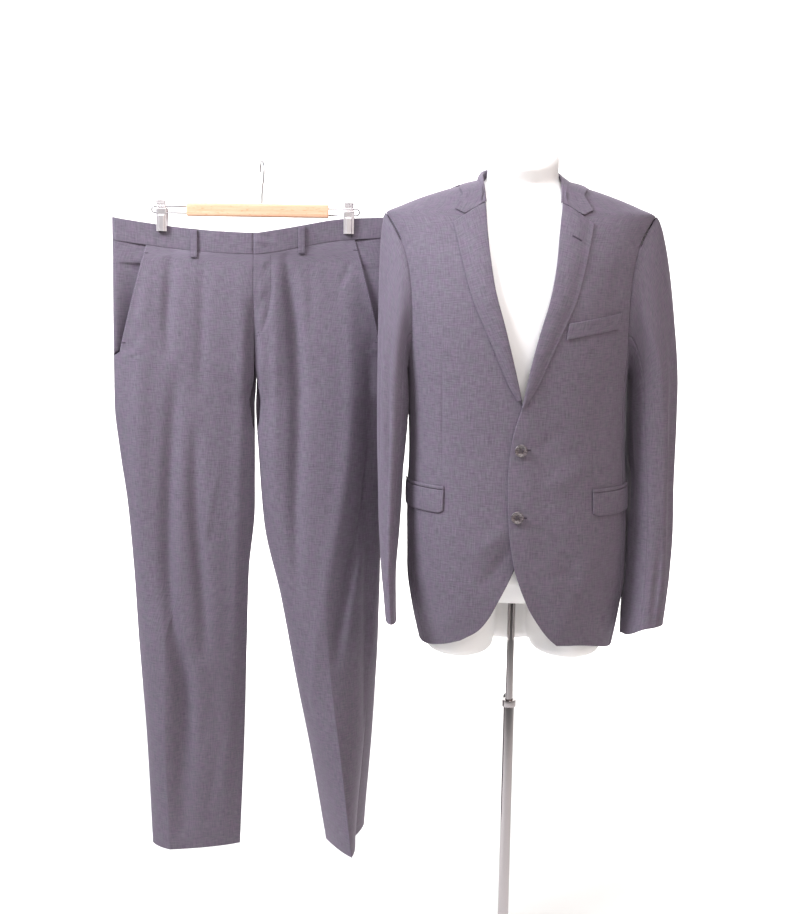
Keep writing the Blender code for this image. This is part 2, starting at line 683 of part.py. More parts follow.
def jacket_back(name, side, made_of):
    armhole_rows = notch_heights(UNDER_NOTCHES[:2] + TOP_NOTCHES[5:10])
    rows = []
    for z in sorted(SIDE_ROWS + SHOULDER_ROWS + tuple(armhole_rows)):
        start = seam_angle(side * back_side_angle(z), z, side)
        stop = seam_angle(side * 180.0, z, -side)
        row = [start + (stop - start) * share for share in spread(0.0, 1.0, 8)]
        rows.append([(angle, hem_height(z, angle)) for angle in row])
    return body_wall(name, rows, -1, made_of)


def armhole_place(notch):
    """Angle and height of the armhole's edge at a notch."""
    turn = (notch % 360.0) / 360.0
    if turn <= 0.5:
        return armhole_angle(turn, ARMHOLE_FRONT_BITE), armhole_z(turn)
    return 180.0 - armhole_angle(turn, ARMHOLE_BACK_BITE), armhole_z(turn)


def armhole_low_z(angle):
    """Height of the armhole's lower edge at an angle of the side panel."""
    bite = ARMHOLE_FRONT_BITE if angle < 90 else ARMHOLE_BACK_BITE
    sine = min(abs(angle - 90.0) / bite, 1.0) ** (1 / ARMHOLE_ROUNDNESS)
    return armhole_z(math.asin(sine) / (2 * math.pi))


def jacket_side(name, side, made_of):
    columns = [FRONT_SEAM_ANGLE]
    columns += [armhole_place(notch)[0] for notch in reversed(UNDER_NOTCHES[1:-1])]
    columns.append(BACK_SEAM_ANGLE)
    rows = []
    for level in range(len(SIDE_ROWS) + 3):
        row = []
        for angle in columns:
            z = SIDE_ROWS[min(level, len(SIDE_ROWS) - 1)]
            share = (level - len(SIDE_ROWS) + 1) / 3
            if share > 0:
                z += (armhole_low_z(angle) - SEAM - z) * share
            signed = side * angle
            if angle == columns[0]:
                signed = seam_angle(signed, z, side)
            if angle == columns[-1]:
                signed = seam_angle(signed, z, -side)
            row.append((signed, hem_height(z, signed)))
        rows.append(row)
    return body_wall(name, rows, -1, made_of)


def lapel(name, side, made_of):
    """The turned-back facing: it stands off at the fold and lies down towards its edge."""
    def point(row, across, out):
        fold_z = LAPEL.at("fold_z", row)
        fold_x = FRONT_EDGE[side].at("x", fold_z) - side * 0.0006
        edge_x = side * LAPEL.at("edge_x", row)
        z = fold_z + (LAPEL.at("edge_z", row) - fold_z) * across
        x = fold_x + (edge_x - fold_x) * across
        roll = LAPEL_ROLL * math.sin(math.pi * min(across + 0.15, 1.0)) * min(1.0, 3 * row + 0.2)
        return on_front(x, z, side, out + roll)
    rows = spread(LAPEL_START[side], 1.0, LAPEL_ROWS)
    columns = spread(0.0, 1.0, LAPEL_COLUMNS)
    outer = [[point(r, c, LAID_ON + LAID_WALL) for c in columns] for r in rows]
    inner = [[point(r, c, LAID_ON) for c in columns] for r in rows]
    return wall(name, outer, inner, made_of)


def neckline(side, angle, z):
    """The foot of the collar's stand: just over the edge of the neck opening."""
    if z > NECKLINE_Z - SEAM:
        edge = body_point(side * angle, NECKLINE_Z)
        edge -= Vector((edge.x, edge.y, 0)).normalized() * STAND_INSET
        return edge + Vector((0, 0, 2 * SEAM))
    return on_front(FRONT_EDGE[side].at("x", z) - side * STAND_INSET, z, side, 2 * SEAM)


def collar(name, made_of):
    """Stand and fall in one strip, folded over the neckline, from one front end round the
    back to the other."""
    rows = []
    for way in spread(-1.0, 1.0, COLLAR_STATIONS - 1):
        side = 1 if way >= 0 else -1
        station = abs(way)
        read = lambda column: COLLAR.at(column, station)
        neck = neckline(side, read("neck_angle"), read("neck_z"))
        fold = Vector((side * read("fold_x"), read("fold_y"), read("fold_z")))
        foot = on_body(side * read("foot_angle"), read("foot_z"), COLLAR_OUT)
        middle = on_body(side * read("middle_angle"), read("middle_z"), COLLAR_OUT)
        edge = on_body(side * read("edge_angle"), read("edge_z"), COLLAR_OUT)
        outward = (foot - neck)
        outward.z = 0.0
        outward = outward.normalized() if outward.length > 1e-6 else Vector((side, 0, 0))
        width = COLLAR_FOLD * (1 - 0.35 * smooth_step((station - 0.7) / 0.3))
        drop = Vector((0, 0, 0.0022))
        inside = fold - outward * width / 2 - drop
        outside = fold + outward * width / 2 - drop
        rows.append(
            [
                neck,
                neck.lerp(inside, 0.5),
                inside,
                fold,
                outside,
                outside.lerp(foot, 0.55) + outward * 0.0008,
                foot,
                middle,
                edge,
            ]
        )
    return wall_from_grid(name, rows, COLLAR_WALL, made_of)


def sleeve_ring(z, side):
    row = SLEEVE[side]
    middle = Vector((row.at("x", z), row.at("y", z), z))
    half, depth = row.at("half", z), row.at("depth", z)
    turn = math.radians(row.at("turn", z)) * side

    def point(around):
        across = -side * half * math.cos(around)
        along = -depth * math.sin(around)
        return middle + Vector(
            (
                across * math.cos(turn) - along * math.sin(turn),
                across * math.sin(turn) + along * math.cos(turn),
                0,
            )
        )
    return point


def cuff_slant(around, z, side):
    """How far the slanting cuff is raised: the sleeve bends forward, so its front is shorter."""
    middle, front, inner = CUFF_SLANT[side]
    turn = math.radians(around)
    reach = CUFF_SLANT_TOP_Z - SLEEVE_ROWS[-1]
    share = max(CUFF_SLANT_TOP_Z - z, 0.0) / reach
    return share * (middle + front * math.sin(turn) + inner * math.cos(turn))


def sleeve_gap(z):
    """Clearance between sleeve and body, wider where the pocket flap lies between them."""
    over = smooth_step((z - 0.93) / 0.02) * smooth_step((1.03 - z) / 0.02)
    return SLEEVE_CLEAR + (SLEEVE_CLEAR_OF_POCKET - SLEEVE_CLEAR) * over


def clear_of_body(point, gap):
    """The point moved out, if need be, to stand clear of the jacket's body."""
    z = min(point.z, NECKLINE_Z)
    half = BODY.at("half", z) + gap
    depth = BODY.at("front" if point.y < 0 else "back", z) + gap
    power = BODY.at("square", z)
    x = point.x - BODY.at("middle", z)
    reach = (abs(x / half) ** power + abs(point.y / depth) ** power) ** (1 / power)
    if reach >= 1:
        return point
    return Vector((BODY.at("middle", z) + x / reach, point.y / reach, point.z))


def sleeve_point(around, row, side):
    """A point of the sleeve's outside: around is 0 at the armpit and 90 in front."""
    top_ring = sleeve_ring(SLEEVE_ROWS[0], side)
    if row > CAP_ROWS:
        z = SLEEVE_ROWS[row - CAP_ROWS]
        point = sleeve_ring(z, side)(math.radians(around))
        point.z += cuff_slant(around, z, side)
        return clear_of_body(point, sleeve_gap(z))
    turn = (around % 360.0) / 360.0
    angle, z = armhole_place(around)
    start = body_point(side * angle, z)
    finish = top_ring(math.radians(around))
    length = (finish - start).length
    top = smooth_step((1 - math.cos(2 * math.pi * turn)) / 2)
    outward = Vector((side, 0.25 * body_normal(side * angle, z).y, 0.12 * top))
    leave = start + outward.normalized() * (0.10 * length * (1 - top) + CAP_REACH[side] * top)
    arrive = finish + Vector((0, 0, 0.45 * length))
    t = row / CAP_ROWS
    t = t + SEAM * 1.6 / max(length, 0.02) * (1 - t)
    point = (
        start * (1 - t) ** 3
        + leave * 3 * t * (1 - t) ** 2
        + arrive * 3 * t * t * (1 - t)
        + finish * t ** 3
    )
    return clear_of_body(point, SLEEVE_CLEAR * smooth_step(t * 1.5) + SEAM * 1.2 * (1 - t))


def sleeve_piece(name, side, notches, made_of):
    """One of a sleeve's two pieces, between its seams."""
    gap = 0.14
    angles = [notches[0] + gap, *notches[1:-1], notches[-1] - gap]
    rows = CAP_ROWS + len(SLEEVE_ROWS)
    outer, inner = [], []
    for row in range(rows):
        outer_row, inner_row = [], []
        for around in angles:
            point = sleeve_point(around, row, side)
            ahead = sleeve_point(around + 6.0, row, side)
            behind = sleeve_point(around - 6.0, row, side)
            above = sleeve_point(around, max(row - 1, 0), side)
            below = sleeve_point(around, min(row + 1, rows - 1), side)
            normal = (ahead - behind).cross(below - above).normalized() * side
            outer_row.append(point)
            inner_row.append(point + normal * SLEEVE_WALL)
        outer.append(outer_row)
        inner.append(inner_row)
    return wall(name, outer, inner, made_of)


def laid_on_side(name, side, heights, corner, made_of):
    """A flap or jet that lies on the front and the side panel; corner is how much its lower
    corners are cut up."""
    top, bottom = heights

    def grid(out):
        rows = []
        for share in spread(0.0, 1.0, 2):
            row = []
            for along in spread(0.0, 1.0, 8):
                angle = POCKET_INNER[side] + (POCKET_OUTER - POCKET_INNER[side]) * along
                low = bottom + (corner if along in (0.0, 1.0) else 0.0)
                row.append(on_body(side * angle, top + (low - top) * share, out))
            rows.append(row)
        return rows
    return wall(name, grid(LAID_ON + LAID_WALL), grid(LAID_ON), made_of)


def breast_welt(name, made_of):
    def grid(out):
        rows = []
        for share in spread(0.0, 1.0, 2):
            row = []
            for along in spread(0.0, 1.0, 6):
                top = Vector((WELT.at("top_x", along), WELT.at("top_z", along)))
                bottom = Vector((WELT.at("bottom_x", along), WELT.at("bottom_z", along)))
                place = top.lerp(bottom, share)
                row.append(on_front(place.x, place.y, 1, out))
            rows.append(row)
        return rows
    return wall(name, grid(LAID_ON + LAID_WALL), grid(LAID_ON), made_of)


def button(name, x, z, made_of):
    """A turned disc with a raised rim, seated on the lapping front."""
    rim = BUTTON_RADIUS
    thick = BUTTON_THICKNESS
    profile = (
        (0.0, 0.0), (0.62 * rim, 0.0), (0.94 * rim, 0.30 * thick), (rim, 0.60 * thick),
        (0.93 * rim, thick), (0.74 * rim, 0.94 * thick), (0.60 * rim, 0.70 * thick),
        (0.0, 0.66 * thick),
    )
    seat = on_front(x, z, 1, 0.0005)
    facing = body_normal(front_angle(x, z), z)
    place = Matrix.Translation(seat) @ facing.to_track_quat("Z", "Y").to_matrix().to_4x4()
    return turned(name, profile, 20, made_of, place)


# ---------------------------------------------------------------- trousers


def fold_depth(leg, face, x, z):
    """How far the hanging folds draw the cloth in at a place."""
    total = 0.0
    for row in FOLDS.rows:
        _, fold_leg, fold_face, top_x, top_z, bottom_x, bottom_z, depth, width = row
        if fold_leg != leg or fold_face != face:
            continue
        share = (top_z - z) / (top_z - bottom_z)
        if not 0 < share < 1:
            continue
        middle = top_x + (bottom_x - top_x) * share
        total += depth * math.sin(math.pi * share) ** 0.7 * math.exp(-(((x - middle) / width) ** 2))
    return total


def leg_point(leg, face, across, z):
    """A point of the trousers' outside. face is -1 for the front and 1 for the back; across
    is 0 at the side seam, 1 at the crease and 2 at the inside seam."""
    row = LEG[leg]
    read = lambda column: row.at(column, z)
    side = Vector((read("side_x"), read("side_y")))
    crease = Vector((read("front_x"), read("front_y")))
    inner = Vector((read("inner_x"), read("inner_front")))
    if face > 0:
        crease = Vector((read("back_x"), read("back_y")))
        inner = Vector((read("inner_x"), read("inner_back")))
    middle = (side + inner) / 2
    end, share = (side, across) if across <= 1 else (inner, 2 - across)
    corner = Vector((crease.x, end.y)).lerp(middle, read("turn"))
    quarter = math.radians(90 * share)
    curved = corner + (end - corner) * math.cos(quarter) + (crease - corner) * math.sin(quarter)
    straight = end.lerp(crease, share)
    if across > 1:
        curved = straight.lerp(curved, read("round"))
    place = curved.lerp(straight, read("crisp"))
    place.y += face * SEAM / 2
    away = smooth_step(3 * share) if across <= 1 else smooth_step(2 * share)
    place.y -= face * fold_depth(leg, face, place.x, z) * away
    return Vector((place.x, place.y, z))


def waist_point(face, x, height=0.0):
    """A point of the waistline, at the seam (0) or the top edge (1) of the waistband."""
    y = WAIST.at("front" if face < 0 else "back", x) + face * SEAM / 2
    seam, top = WAIST.at("seam", x), WAIST.at("top", x)
    return Vector((x, y, seam + (top - seam) * height))


def slant_start(leg, z):
    """How far across the front the pocket mouth lies, from the side seam."""
    mouth = SLANT[leg]
    if z < mouth.keys[0]:
        return 0.0
    target = mouth.at("x", z)
    low, high = 0.0, 1.0
    for _ in range(24):
        middle = (low + high) / 2
        beyond = (leg_point(leg, -1, middle, z).x - target) * leg
        if beyond > 0:
            low = middle
        else:
            high = middle
    return low


def leg_columns(start):
    outer = [start + (1 - start) * share for share in spread(0.0, 1.0, QUARTER_STEPS)]
    return outer + [1 + share for share in spread(0.0, 1.0, QUARTER_STEPS)][1:]


def trouser_panel(name, leg, face, made_of):
    drop = Vector((0, 0, BELOW_WAIST_ROW))
    rows = [[waist_point(face, x) - drop for x in WAIST_STATIONS[leg, face]]]
    for z in LEG_ROWS + (LEG_HEM[leg],):
        start = slant_start(leg, z) if face < 0 else 0.0
        rows.append([leg_point(leg, face, across, z) for across in leg_columns(start)])
    flush = [[0.0] * len(row) for row in rows]
    return mitred_wall(name, rows, flush, leg * face, face, (0, -1), made_of)


def pocket_facing(name, leg, made_of):
    """The side piece that shows behind the pocket mouth, set in behind the front."""
    drop = Vector((0, 0, BELOW_WAIST_ROW))
    rows = [[waist_point(-1, x) - drop for x in FACING_STATIONS[leg]]]
    recess = [[FACING_DEPTH * smooth_step(share) for share in FACING_SHARES]]
    for index, z in enumerate(FACING_ROWS):
        start = slant_start(leg, z)
        columns = [start * share for share in FACING_SHARES[:-1]] + [start + FACING_UNDERLAP]
        rows.append([leg_point(leg, -1, across, z) for across in columns])
        depth = FACING_DEPTH + FACING_SINK * smooth_step((index + 1) / 3)
        recess.append([depth * smooth_step(share) for share in FACING_SHARES])
    return mitred_wall(name, rows, recess, -leg, -1, (0,), made_of)


def waistband(name, leg, made_of):
    """Half the waistband: from the centre front round the side fold to the centre back."""
    front = FACING_STATIONS[leg][1:4] + WAIST_STATIONS[leg, -1]
    rows = []
    for height in (0.0, 0.5, 1.0):
        corner = waist_point(-1, FACING_STATIONS[leg][0], height)
        corner.y = HANGER_Y
        row = [waist_point(-1, x, height) for x in reversed(front)] + [corner]
        row += [waist_point(1, x, height) for x in WAIST_STATIONS[leg, 1][1:]]
        rows.append(row)
    return wall_from_grid(name, rows, -TROUSER_WALL * leg, made_of)


def belt_loop(name, x, face_name, made_of):
    """A narrow strip that arches over the waistband and is sewn down at both ends."""
    face = -1 if face_name == "front" else 1
    top, seam = WAIST.at("top", x), WAIST.at("seam", x)
    course = (
        (top - 0.0010, 0.0022), (top - 0.0050, LOOP_RISE), (seam + 0.0080, LOOP_RISE + 0.0006),
        (seam - 0.0060, LOOP_RISE), (seam - 0.0115, 0.0026),
    )
    def grid(cut):
        rows = []
        for z, out in course:
            row = []
            for across in (-0.5, 0.0, 0.5):
                place = x + across * LOOP_WIDTH
                if z > seam:
                    y = WAIST.at("front" if face < 0 else "back", place)
                else:
                    y = trouser_depth(place, z, face)
                row.append(Vector((place, y + face * (out - cut), z)))
            rows.append(row)
        return rows
    return wall(name, grid(0.0), grid(LOOP_WALL), made_of)


def trouser_depth(x, z, face):
    """The y of the trousers' outside just under the waistband."""
    leg = 1 if x > CENTRE_X else -1
    low, high = 0.0, 2.0
    for _ in range(24):
        middle = (low + high) / 2
        beyond = (leg_point(leg, face, middle, z).x - x) * leg
        if beyond > 0:
            low = middle
        else:
            high = middle
    seam_y = WAIST.at("front" if face < 0 else "back", x)
    below = leg_point(leg, face, low, LEG_ROWS[0]).y
    share = (WAIST.at("seam", x) - z) / (WAIST.at("seam", x) - LEG_ROWS[0])
    return seam_y + (below - seam_y) * share


# ---------------------------------------------------------------- form and stand


def form_ring(z):
    inset = FORM_INSET.at("inset", z)
    steps = [360.0 * k / FORM_COLUMNS for k in range(FORM_COLUMNS)]
    return [on_body(angle, z, -inset) for angle in steps]


def oval_ring(x, y, z, half, depth, tilt=0.0):
    """A ring about a middle; tilt lifts its back and lowers its front."""
    ring = []
    for k in range(FORM_COLUMNS):
        angle = 2 * math.pi * k / FORM_COLUMNS
        across, along = half * math.sin(angle), -depth * math.cos(angle)
        ring.append(Vector((x + across, y + along, z + tilt * along / depth)))
    return ring


def dress_form(name, made_of):
    """Neck, shoulders, torso and two short stubs, one smooth body bored for the pole."""
    torso_rows = (
        1.466, 1.4585, 1.445, 1.432, 1.419, 1.398, 1.370, 1.335, 1.290, 1.230, 1.165, 1.110,
        1.050, 0.980, 0.910, 0.850,
    )
    middle = BODY.at("middle", NECKLINE_Z)
    rings = [
        oval_ring(middle, 0.000, NECK_TOP_Z - 0.012, 0.030, 0.032, NECK_TILT_DROP * 0.55),
        oval_ring(middle, -0.002, NECK_TOP_Z - 0.018, NECK_HALF - 0.006, 0.050, NECK_TILT_DROP * 0.9),
        oval_ring(middle, -0.002, NECK_TOP_Z - 0.026, NECK_HALF, 0.056, NECK_TILT_DROP * 0.9),
        oval_ring(middle, 0.002, 1.495, NECK_HALF, 0.056, 0.010),
        oval_ring(middle, 0.008, 1.476, NECK_HALF + 0.0005, 0.056, 0.003),
        oval_ring(middle, 0.012, 1.4705, NECK_HALF + 0.0035, 0.052, 0.0),
    ]
    rings += [form_ring(z) for z in torso_rows]
    low = BODY.at("middle", torso_rows[-1])
    rings.append(oval_ring(low, 0.002, 0.818, 0.135, 0.098))
    rings.append(oval_ring(low, 0.002, CROTCH_Z, 0.085, 0.060))
    torso = loft(name, rings, made_of)
    for stub_middle, half in STUBS:
        stub_rows = (
            (0.870, 0.90, 0.92), (0.835, 0.98, 0.99), (0.790, 1.0, 1.0), (0.745, 0.985, 0.985),
            (0.724, 0.95, 0.96), (STUB_BOTTOM_Z, 0.86, 0.89),
        )
        stub = loft(
            "stub",
            [
                oval_ring(stub_middle, 0.0, z, half * wide, STUB_DEPTH * deep)
                for z, wide, deep in stub_rows
            ],
            made_of,
        )
        combine(torso, stub, "UNION")
    seat = loft(
        "seat",
        [
            oval_ring(SEAT["x"], SEAT["y"], z, SEAT["half"] * wide, SEAT["depth"] * wide)
            for z, wide in ((0.860, 1.0), (0.760, 1.0), (0.730, 0.96), (0.720, 0.86))
        ],
        made_of,
    )
    combine(torso, seat, "UNION")
    bore = rod(
        "bore",
        [Vector((POLE_X, 0, CROTCH_Z - 0.02)), Vector((POLE_X, 0, INNER_POLE_TOP + SEAM))],
        INNER_POLE_RADIUS + RUNNING_GAP,
        16,
        made_of,
    )
    combine(torso, bore, "DIFFERENCE")
    return torso


def combine(thing, other, operation):
    """A Boolean, applied; the other object is used up."""
    cut = thing.modifiers.new("cut", "BOOLEAN")
    cut.operation = operation
    cut.object = other
    cut.solver = "MANIFOLD"
    graph = bpy.context.evaluated_depsgraph_get()
    result = bpy.data.meshes.new_from_object(thing.evaluated_get(graph))
    thing.modifiers.remove(cut)
    thing.data = result
    bpy.data.objects.remove(other, do_unlink=True)


def stand(chrome, black):
    at_pole = Matrix.Translation((POLE_X, 0, 0))
    base_edge = BASE_RADIUS
    base = (
        (0.0, 0.0), (base_edge, 0.0), (base_edge, 0.6 * BASE_THICKNESS),
        (base_edge - 0.006, BASE_THICKNESS), (HUB_RADIUS, BASE_THICKNESS + 0.002),
        (HUB_RADIUS, BASE_THICKNESS + HUB_HEIGHT),
        (OUTER_POLE_RADIUS + RUNNING_GAP, BASE_THICKNESS + HUB_HEIGHT),
        (OUTER_POLE_RADIUS + RUNNING_GAP, BASE_THICKNESS), (0.0, BASE_THICKNESS),
    )
    turned("stand_base", base, 48, chrome, at_pole)
    foot = BASE_THICKNESS + SEAM
    turned(
        "pole_outer",
        (
            (OUTER_POLE_BORE, foot), (OUTER_POLE_RADIUS, foot),
            (OUTER_POLE_RADIUS, OUTER_POLE_TOP), (OUTER_POLE_BORE, OUTER_POLE_TOP),
        ),
        24,
        chrome,
        at_pole,
    )
    turned(
        "pole_inner",
        (
            (0.0, INNER_POLE_BOTTOM), (INNER_POLE_RADIUS, INNER_POLE_BOTTOM),
            (INNER_POLE_RADIUS, INNER_POLE_TOP), (0.0, INNER_POLE_TOP),
        ),
        24,
        chrome,
        at_pole,
    )
    clamp_z = OUTER_POLE_TOP - CLAMP_HEIGHT + 0.004
    bore = OUTER_POLE_RADIUS + RUNNING_GAP
    lip = INNER_POLE_RADIUS + RUNNING_GAP
    cap = OUTER_POLE_TOP + SEAM
    turned(
        "pole_clamp",
        (
            (bore, clamp_z), (CLAMP_RADIUS, clamp_z), (CLAMP_RADIUS, cap + 0.003),
            (lip, cap + 0.003), (lip, cap), (bore, cap),
        ),
        24,
        chrome,
        at_pole,
    )
    screw_z = clamp_z + 0.5 * CLAMP_HEIGHT
    pointing = Matrix.Translation((POLE_X, 0, screw_z)) @ Matrix.Rotation(-math.pi / 2, 4, "X")
    start = CLAMP_RADIUS + SEAM
    turned(
        "clamp_screw",
        (
            (0.0, start), (SCREW_RADIUS, start), (SCREW_RADIUS, start + 0.006),
            (KNOB_RADIUS, start + 0.008), (KNOB_RADIUS, KNOB_REACH), (0.0, KNOB_REACH + 0.002),
        ),
        16,
        black,
        pointing,
    )


# ---------------------------------------------------------------- hanger


def hanger(wood, steel, rubber):
    half = BAR_THICKNESS / 2
    middle_z = (BAR_BOTTOM_Z + BAR_TOP_Z) / 2
    tall = (BAR_TOP_Z - BAR_BOTTOM_Z) / 2
    section = []
    for k in range(16):
        angle = 2 * math.pi * (k + 0.5) / 16
        across = half * math.copysign(abs(math.cos(angle)) ** 0.6, math.cos(angle))
        up = tall * math.copysign(abs(math.sin(angle)) ** 0.6, math.sin(angle))
        section.append((across, up))
    ends = ((BAR_ENDS[0], 0.92), (BAR_ENDS[0] + 0.0015, 1.0), (BAR_ENDS[1] - 0.0015, 1.0), (BAR_ENDS[1], 0.92))
    rings = [
        [Vector((x, HANGER_Y + across * size, middle_z + up * size)) for across, up in section]
        for x, size in ends
    ]
    loft("hanger_bar", rings, wood)
    low, high = ROD_HEIGHTS
    bend = (high - low) / 2
    for (side, clip_x), bar_end, way in zip(CLIPS, (BAR_ENDS[1], BAR_ENDS[0]), (1, -1)):
        start = bar_end + way * SEAM
        turn_x = clip_x + way * (ROD_END_REACH - bend)
        path = [Vector((start, HANGER_Y, high)), Vector((turn_x, HANGER_Y, high))]
        for k in range(1, 8):
            angle = math.pi * k / 8
            path.append(
                Vector((turn_x + way * bend * math.sin(angle), HANGER_Y, low + bend + bend * math.cos(angle)))
            )
        path += [Vector((turn_x, HANGER_Y, low)), Vector((start, HANGER_Y, low))]
        rod("hanger_wire_" + side, path, ROD_RADIUS, 8, steel)
        hanger_clip(side, clip_x, steel, rubber)
    hook(steel)


def clip_course(face):
    """The plate's course from its thumb end down to its jaw, as (height, distance out)."""
    pinch = HANGER_Y - WAIST.at("front", CLIPS[0][1])
    return (
        (CLIP_TOP_Z, 0.0125), (ROD_HEIGHTS[1] + 0.002, 0.0082), (ROD_HEIGHTS[0] - 0.003, 0.0072),
        (WAIST.at("top", CLIPS[0][1]) - 0.004, 0.0070), (CLIP_BOTTOM_Z + 0.003, pinch + 0.0036),
        (CLIP_BOTTOM_Z, pinch + 0.0036),
    )


def hanger_clip(side, x, steel, rubber):
    """Two bent plates on a cradle that slides on the wires; rubber feet grip the waistband."""
    half = CLIP_WIDTH / 2
    for face_name, face in (("front", -1), ("back", 1)):
        def grid(extra):
            return [
                [Vector((x + across * half, HANGER_Y + face * (out + extra), z)) for across in (-1, 1)]
                for z, out in clip_course(face)
            ]
        wall(f"clip_{side}_{face_name}", grid(CLIP_PLATE), grid(0.0), steel)
        band = HANGER_Y + face * (HANGER_Y - WAIST.at("front", x) + SEAM / 2 + SEAM)
        jaw = HANGER_Y + face * (clip_course(face)[-1][1] - SEAM)
        corners = [
            Vector((x + across * (half - 0.0008), y, z))
            for z in (CLIP_BOTTOM_Z - 0.0005, CLIP_BOTTOM_Z + 0.0075)
            for across, y in ((-1, band), (1, band), (1, jaw), (-1, jaw))
        ]
        loft(f"clip_{side}_foot_{face_name}", [corners[:4], corners[4:]], rubber)
    block = loft(
        f"clip_{side}_cradle",
        [
            [
                Vector((x + across * (half - 0.002), HANGER_Y + along * 0.0066, z))
                for across, along in ((-1, -1), (1, -1), (1, 1), (-1, 1))
            ]
            for z in (ROD_HEIGHTS[0] - 0.0030, ROD_HEIGHTS[1] + 0.0030)
        ],
        steel,
    )
    for height in ROD_HEIGHTS:
        path = [Vector((x - CLIP_WIDTH, HANGER_Y, height)), Vector((x + CLIP_WIDTH, HANGER_Y, height))]
        bore = rod("bore", path, ROD_RADIUS + SEAM, 8, steel)
        combine(block, bore, "DIFFERENCE")


def hook(steel):
    """A bent wire: a short stem out of the bar, then most of a circle over the rail."""
    middle_z = HOOK_CROWN_Z - HOOK_RADIUS - HOOK_BEND
    turn = math.radians(HOOK_TURN)
    across = Vector((math.sin(turn), -math.cos(turn), 0)) * HOOK_BEND
    base = Vector((HOOK_X, HANGER_Y, 0))
    path = [
        base + Vector((0, 0, BAR_TOP_Z + SEAM)),
        base + Vector((0, 0, BAR_TOP_Z + HOOK_STEM)),
    ]
    for angle in spread(HOOK_ARC[0], HOOK_ARC[1], 14):
        turned_by = math.radians(angle)
        rise = Vector((0, 0, middle_z + HOOK_BEND * math.sin(turned_by)))
        path.append(base + across * math.cos(turned_by) + rise)
    rod("hanger_hook", path, HOOK_RADIUS, 8, steel)


def build():
    clear_scene()
    cloth = material("worsted_wool", (0.26, 0.22, 0.26), 0.85)
    plastic = material("white_plastic", (0.88, 0.87, 0.86), 0.45)
    chrome = material("chrome", (0.72, 0.72, 0.74), 0.15, 1.0)
    steel = material("plated_steel", (0.62, 0.60, 0.60), 0.30, 1.0)
    wood = material("beech", (0.80, 0.60, 0.42), 0.50)
    rubber = material("grey_rubber", (0.30, 0.27, 0.28), 0.80)
    horn = material("horn", (0.05, 0.045, 0.05), 0.35)
    black = material("black_knob", (0.03, 0.03, 0.03), 0.45)
    for side_name, side in SIDES:
        jacket_front("jacket_front_" + side_name, side, cloth)
        jacket_side("jacket_side_" + side_name, side, cloth)
        jacket_back("jacket_back_" + side_name, side, cloth)
        lapel("lapel_" + side_name, side, cloth)
        sleeve_piece("sleeve_top_" + side_name, side, TOP_NOTCHES, cloth)
        sleeve_piece("sleeve_under_" + side_name, side, UNDER_NOTCHES, cloth)
        laid_on_side("pocket_flap_" + side_name, side, FLAP_HEIGHTS, FLAP_CORNER, cloth)
        laid_on_side("pocket_jet_" + side_name, side, JET_HEIGHTS, 0.0, cloth)
        trouser_panel("trouser_front_" + side_name, side, -1, cloth)
        trouser_panel("trouser_back_" + side_name, side, 1, cloth)
        pocket_facing("pocket_facing_" + side_name, side, cloth)
        waistband("waistband_" + side_name, side, cloth)
    collar("collar", cloth)
    breast_welt("breast_welt", cloth)
    for name, x, z in BUTTONS:
        button(name, x, z, horn)
    for name, x, face_name in BELT_LOOPS:
        belt_loop(name, x, face_name, cloth)
    dress_form("dress_form", plastic)
    stand(chrome, black)
    hanger(wood, steel, rubber)
    for thing in bpy.data.objects:
        thing.data.transform(Matrix.Translation((-POLE_X, 0, 0)))


build()
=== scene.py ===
import math

import bmesh
import bpy
import numpy as np
from mathutils import Matrix, Vector


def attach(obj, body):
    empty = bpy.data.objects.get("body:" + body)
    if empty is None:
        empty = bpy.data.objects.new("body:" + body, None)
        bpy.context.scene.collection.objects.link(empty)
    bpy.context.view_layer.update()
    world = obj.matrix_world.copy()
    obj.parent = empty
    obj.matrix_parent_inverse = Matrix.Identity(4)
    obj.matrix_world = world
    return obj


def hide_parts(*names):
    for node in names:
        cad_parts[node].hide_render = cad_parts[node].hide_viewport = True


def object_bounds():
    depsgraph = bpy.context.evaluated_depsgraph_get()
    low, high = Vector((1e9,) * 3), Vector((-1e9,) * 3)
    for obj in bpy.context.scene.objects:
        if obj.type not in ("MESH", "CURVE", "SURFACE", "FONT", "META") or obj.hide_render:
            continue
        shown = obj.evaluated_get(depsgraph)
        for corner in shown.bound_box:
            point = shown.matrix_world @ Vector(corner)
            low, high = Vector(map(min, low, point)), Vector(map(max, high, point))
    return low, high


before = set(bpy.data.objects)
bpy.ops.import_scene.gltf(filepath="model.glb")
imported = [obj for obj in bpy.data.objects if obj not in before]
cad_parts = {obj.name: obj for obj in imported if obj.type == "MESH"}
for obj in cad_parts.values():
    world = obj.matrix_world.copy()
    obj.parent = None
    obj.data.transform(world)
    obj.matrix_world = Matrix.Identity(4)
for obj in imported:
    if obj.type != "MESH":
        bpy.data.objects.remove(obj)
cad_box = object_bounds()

# ---------------- camera, light and floor
# The suit stands in a white studio. A soft box high in front of its right side rakes across
# the folds, one above, one in front and a weak one at its left open the shade, and two light
# the pale seamless floor and the wall that it runs up into.

scene = bpy.context.scene
scene.view_settings.view_transform = "Standard"

CAMERA_PLACE = Vector((-0.18880, -2.09937, 1.32280))
CAMERA_PITCH = math.radians(8.0)
CAMERA_ROLL = math.radians(0.9)
FOCAL_PIXELS, PICTURE_HEIGHT, SENSOR_HEIGHT = 1300.0, 914.0, 36.0

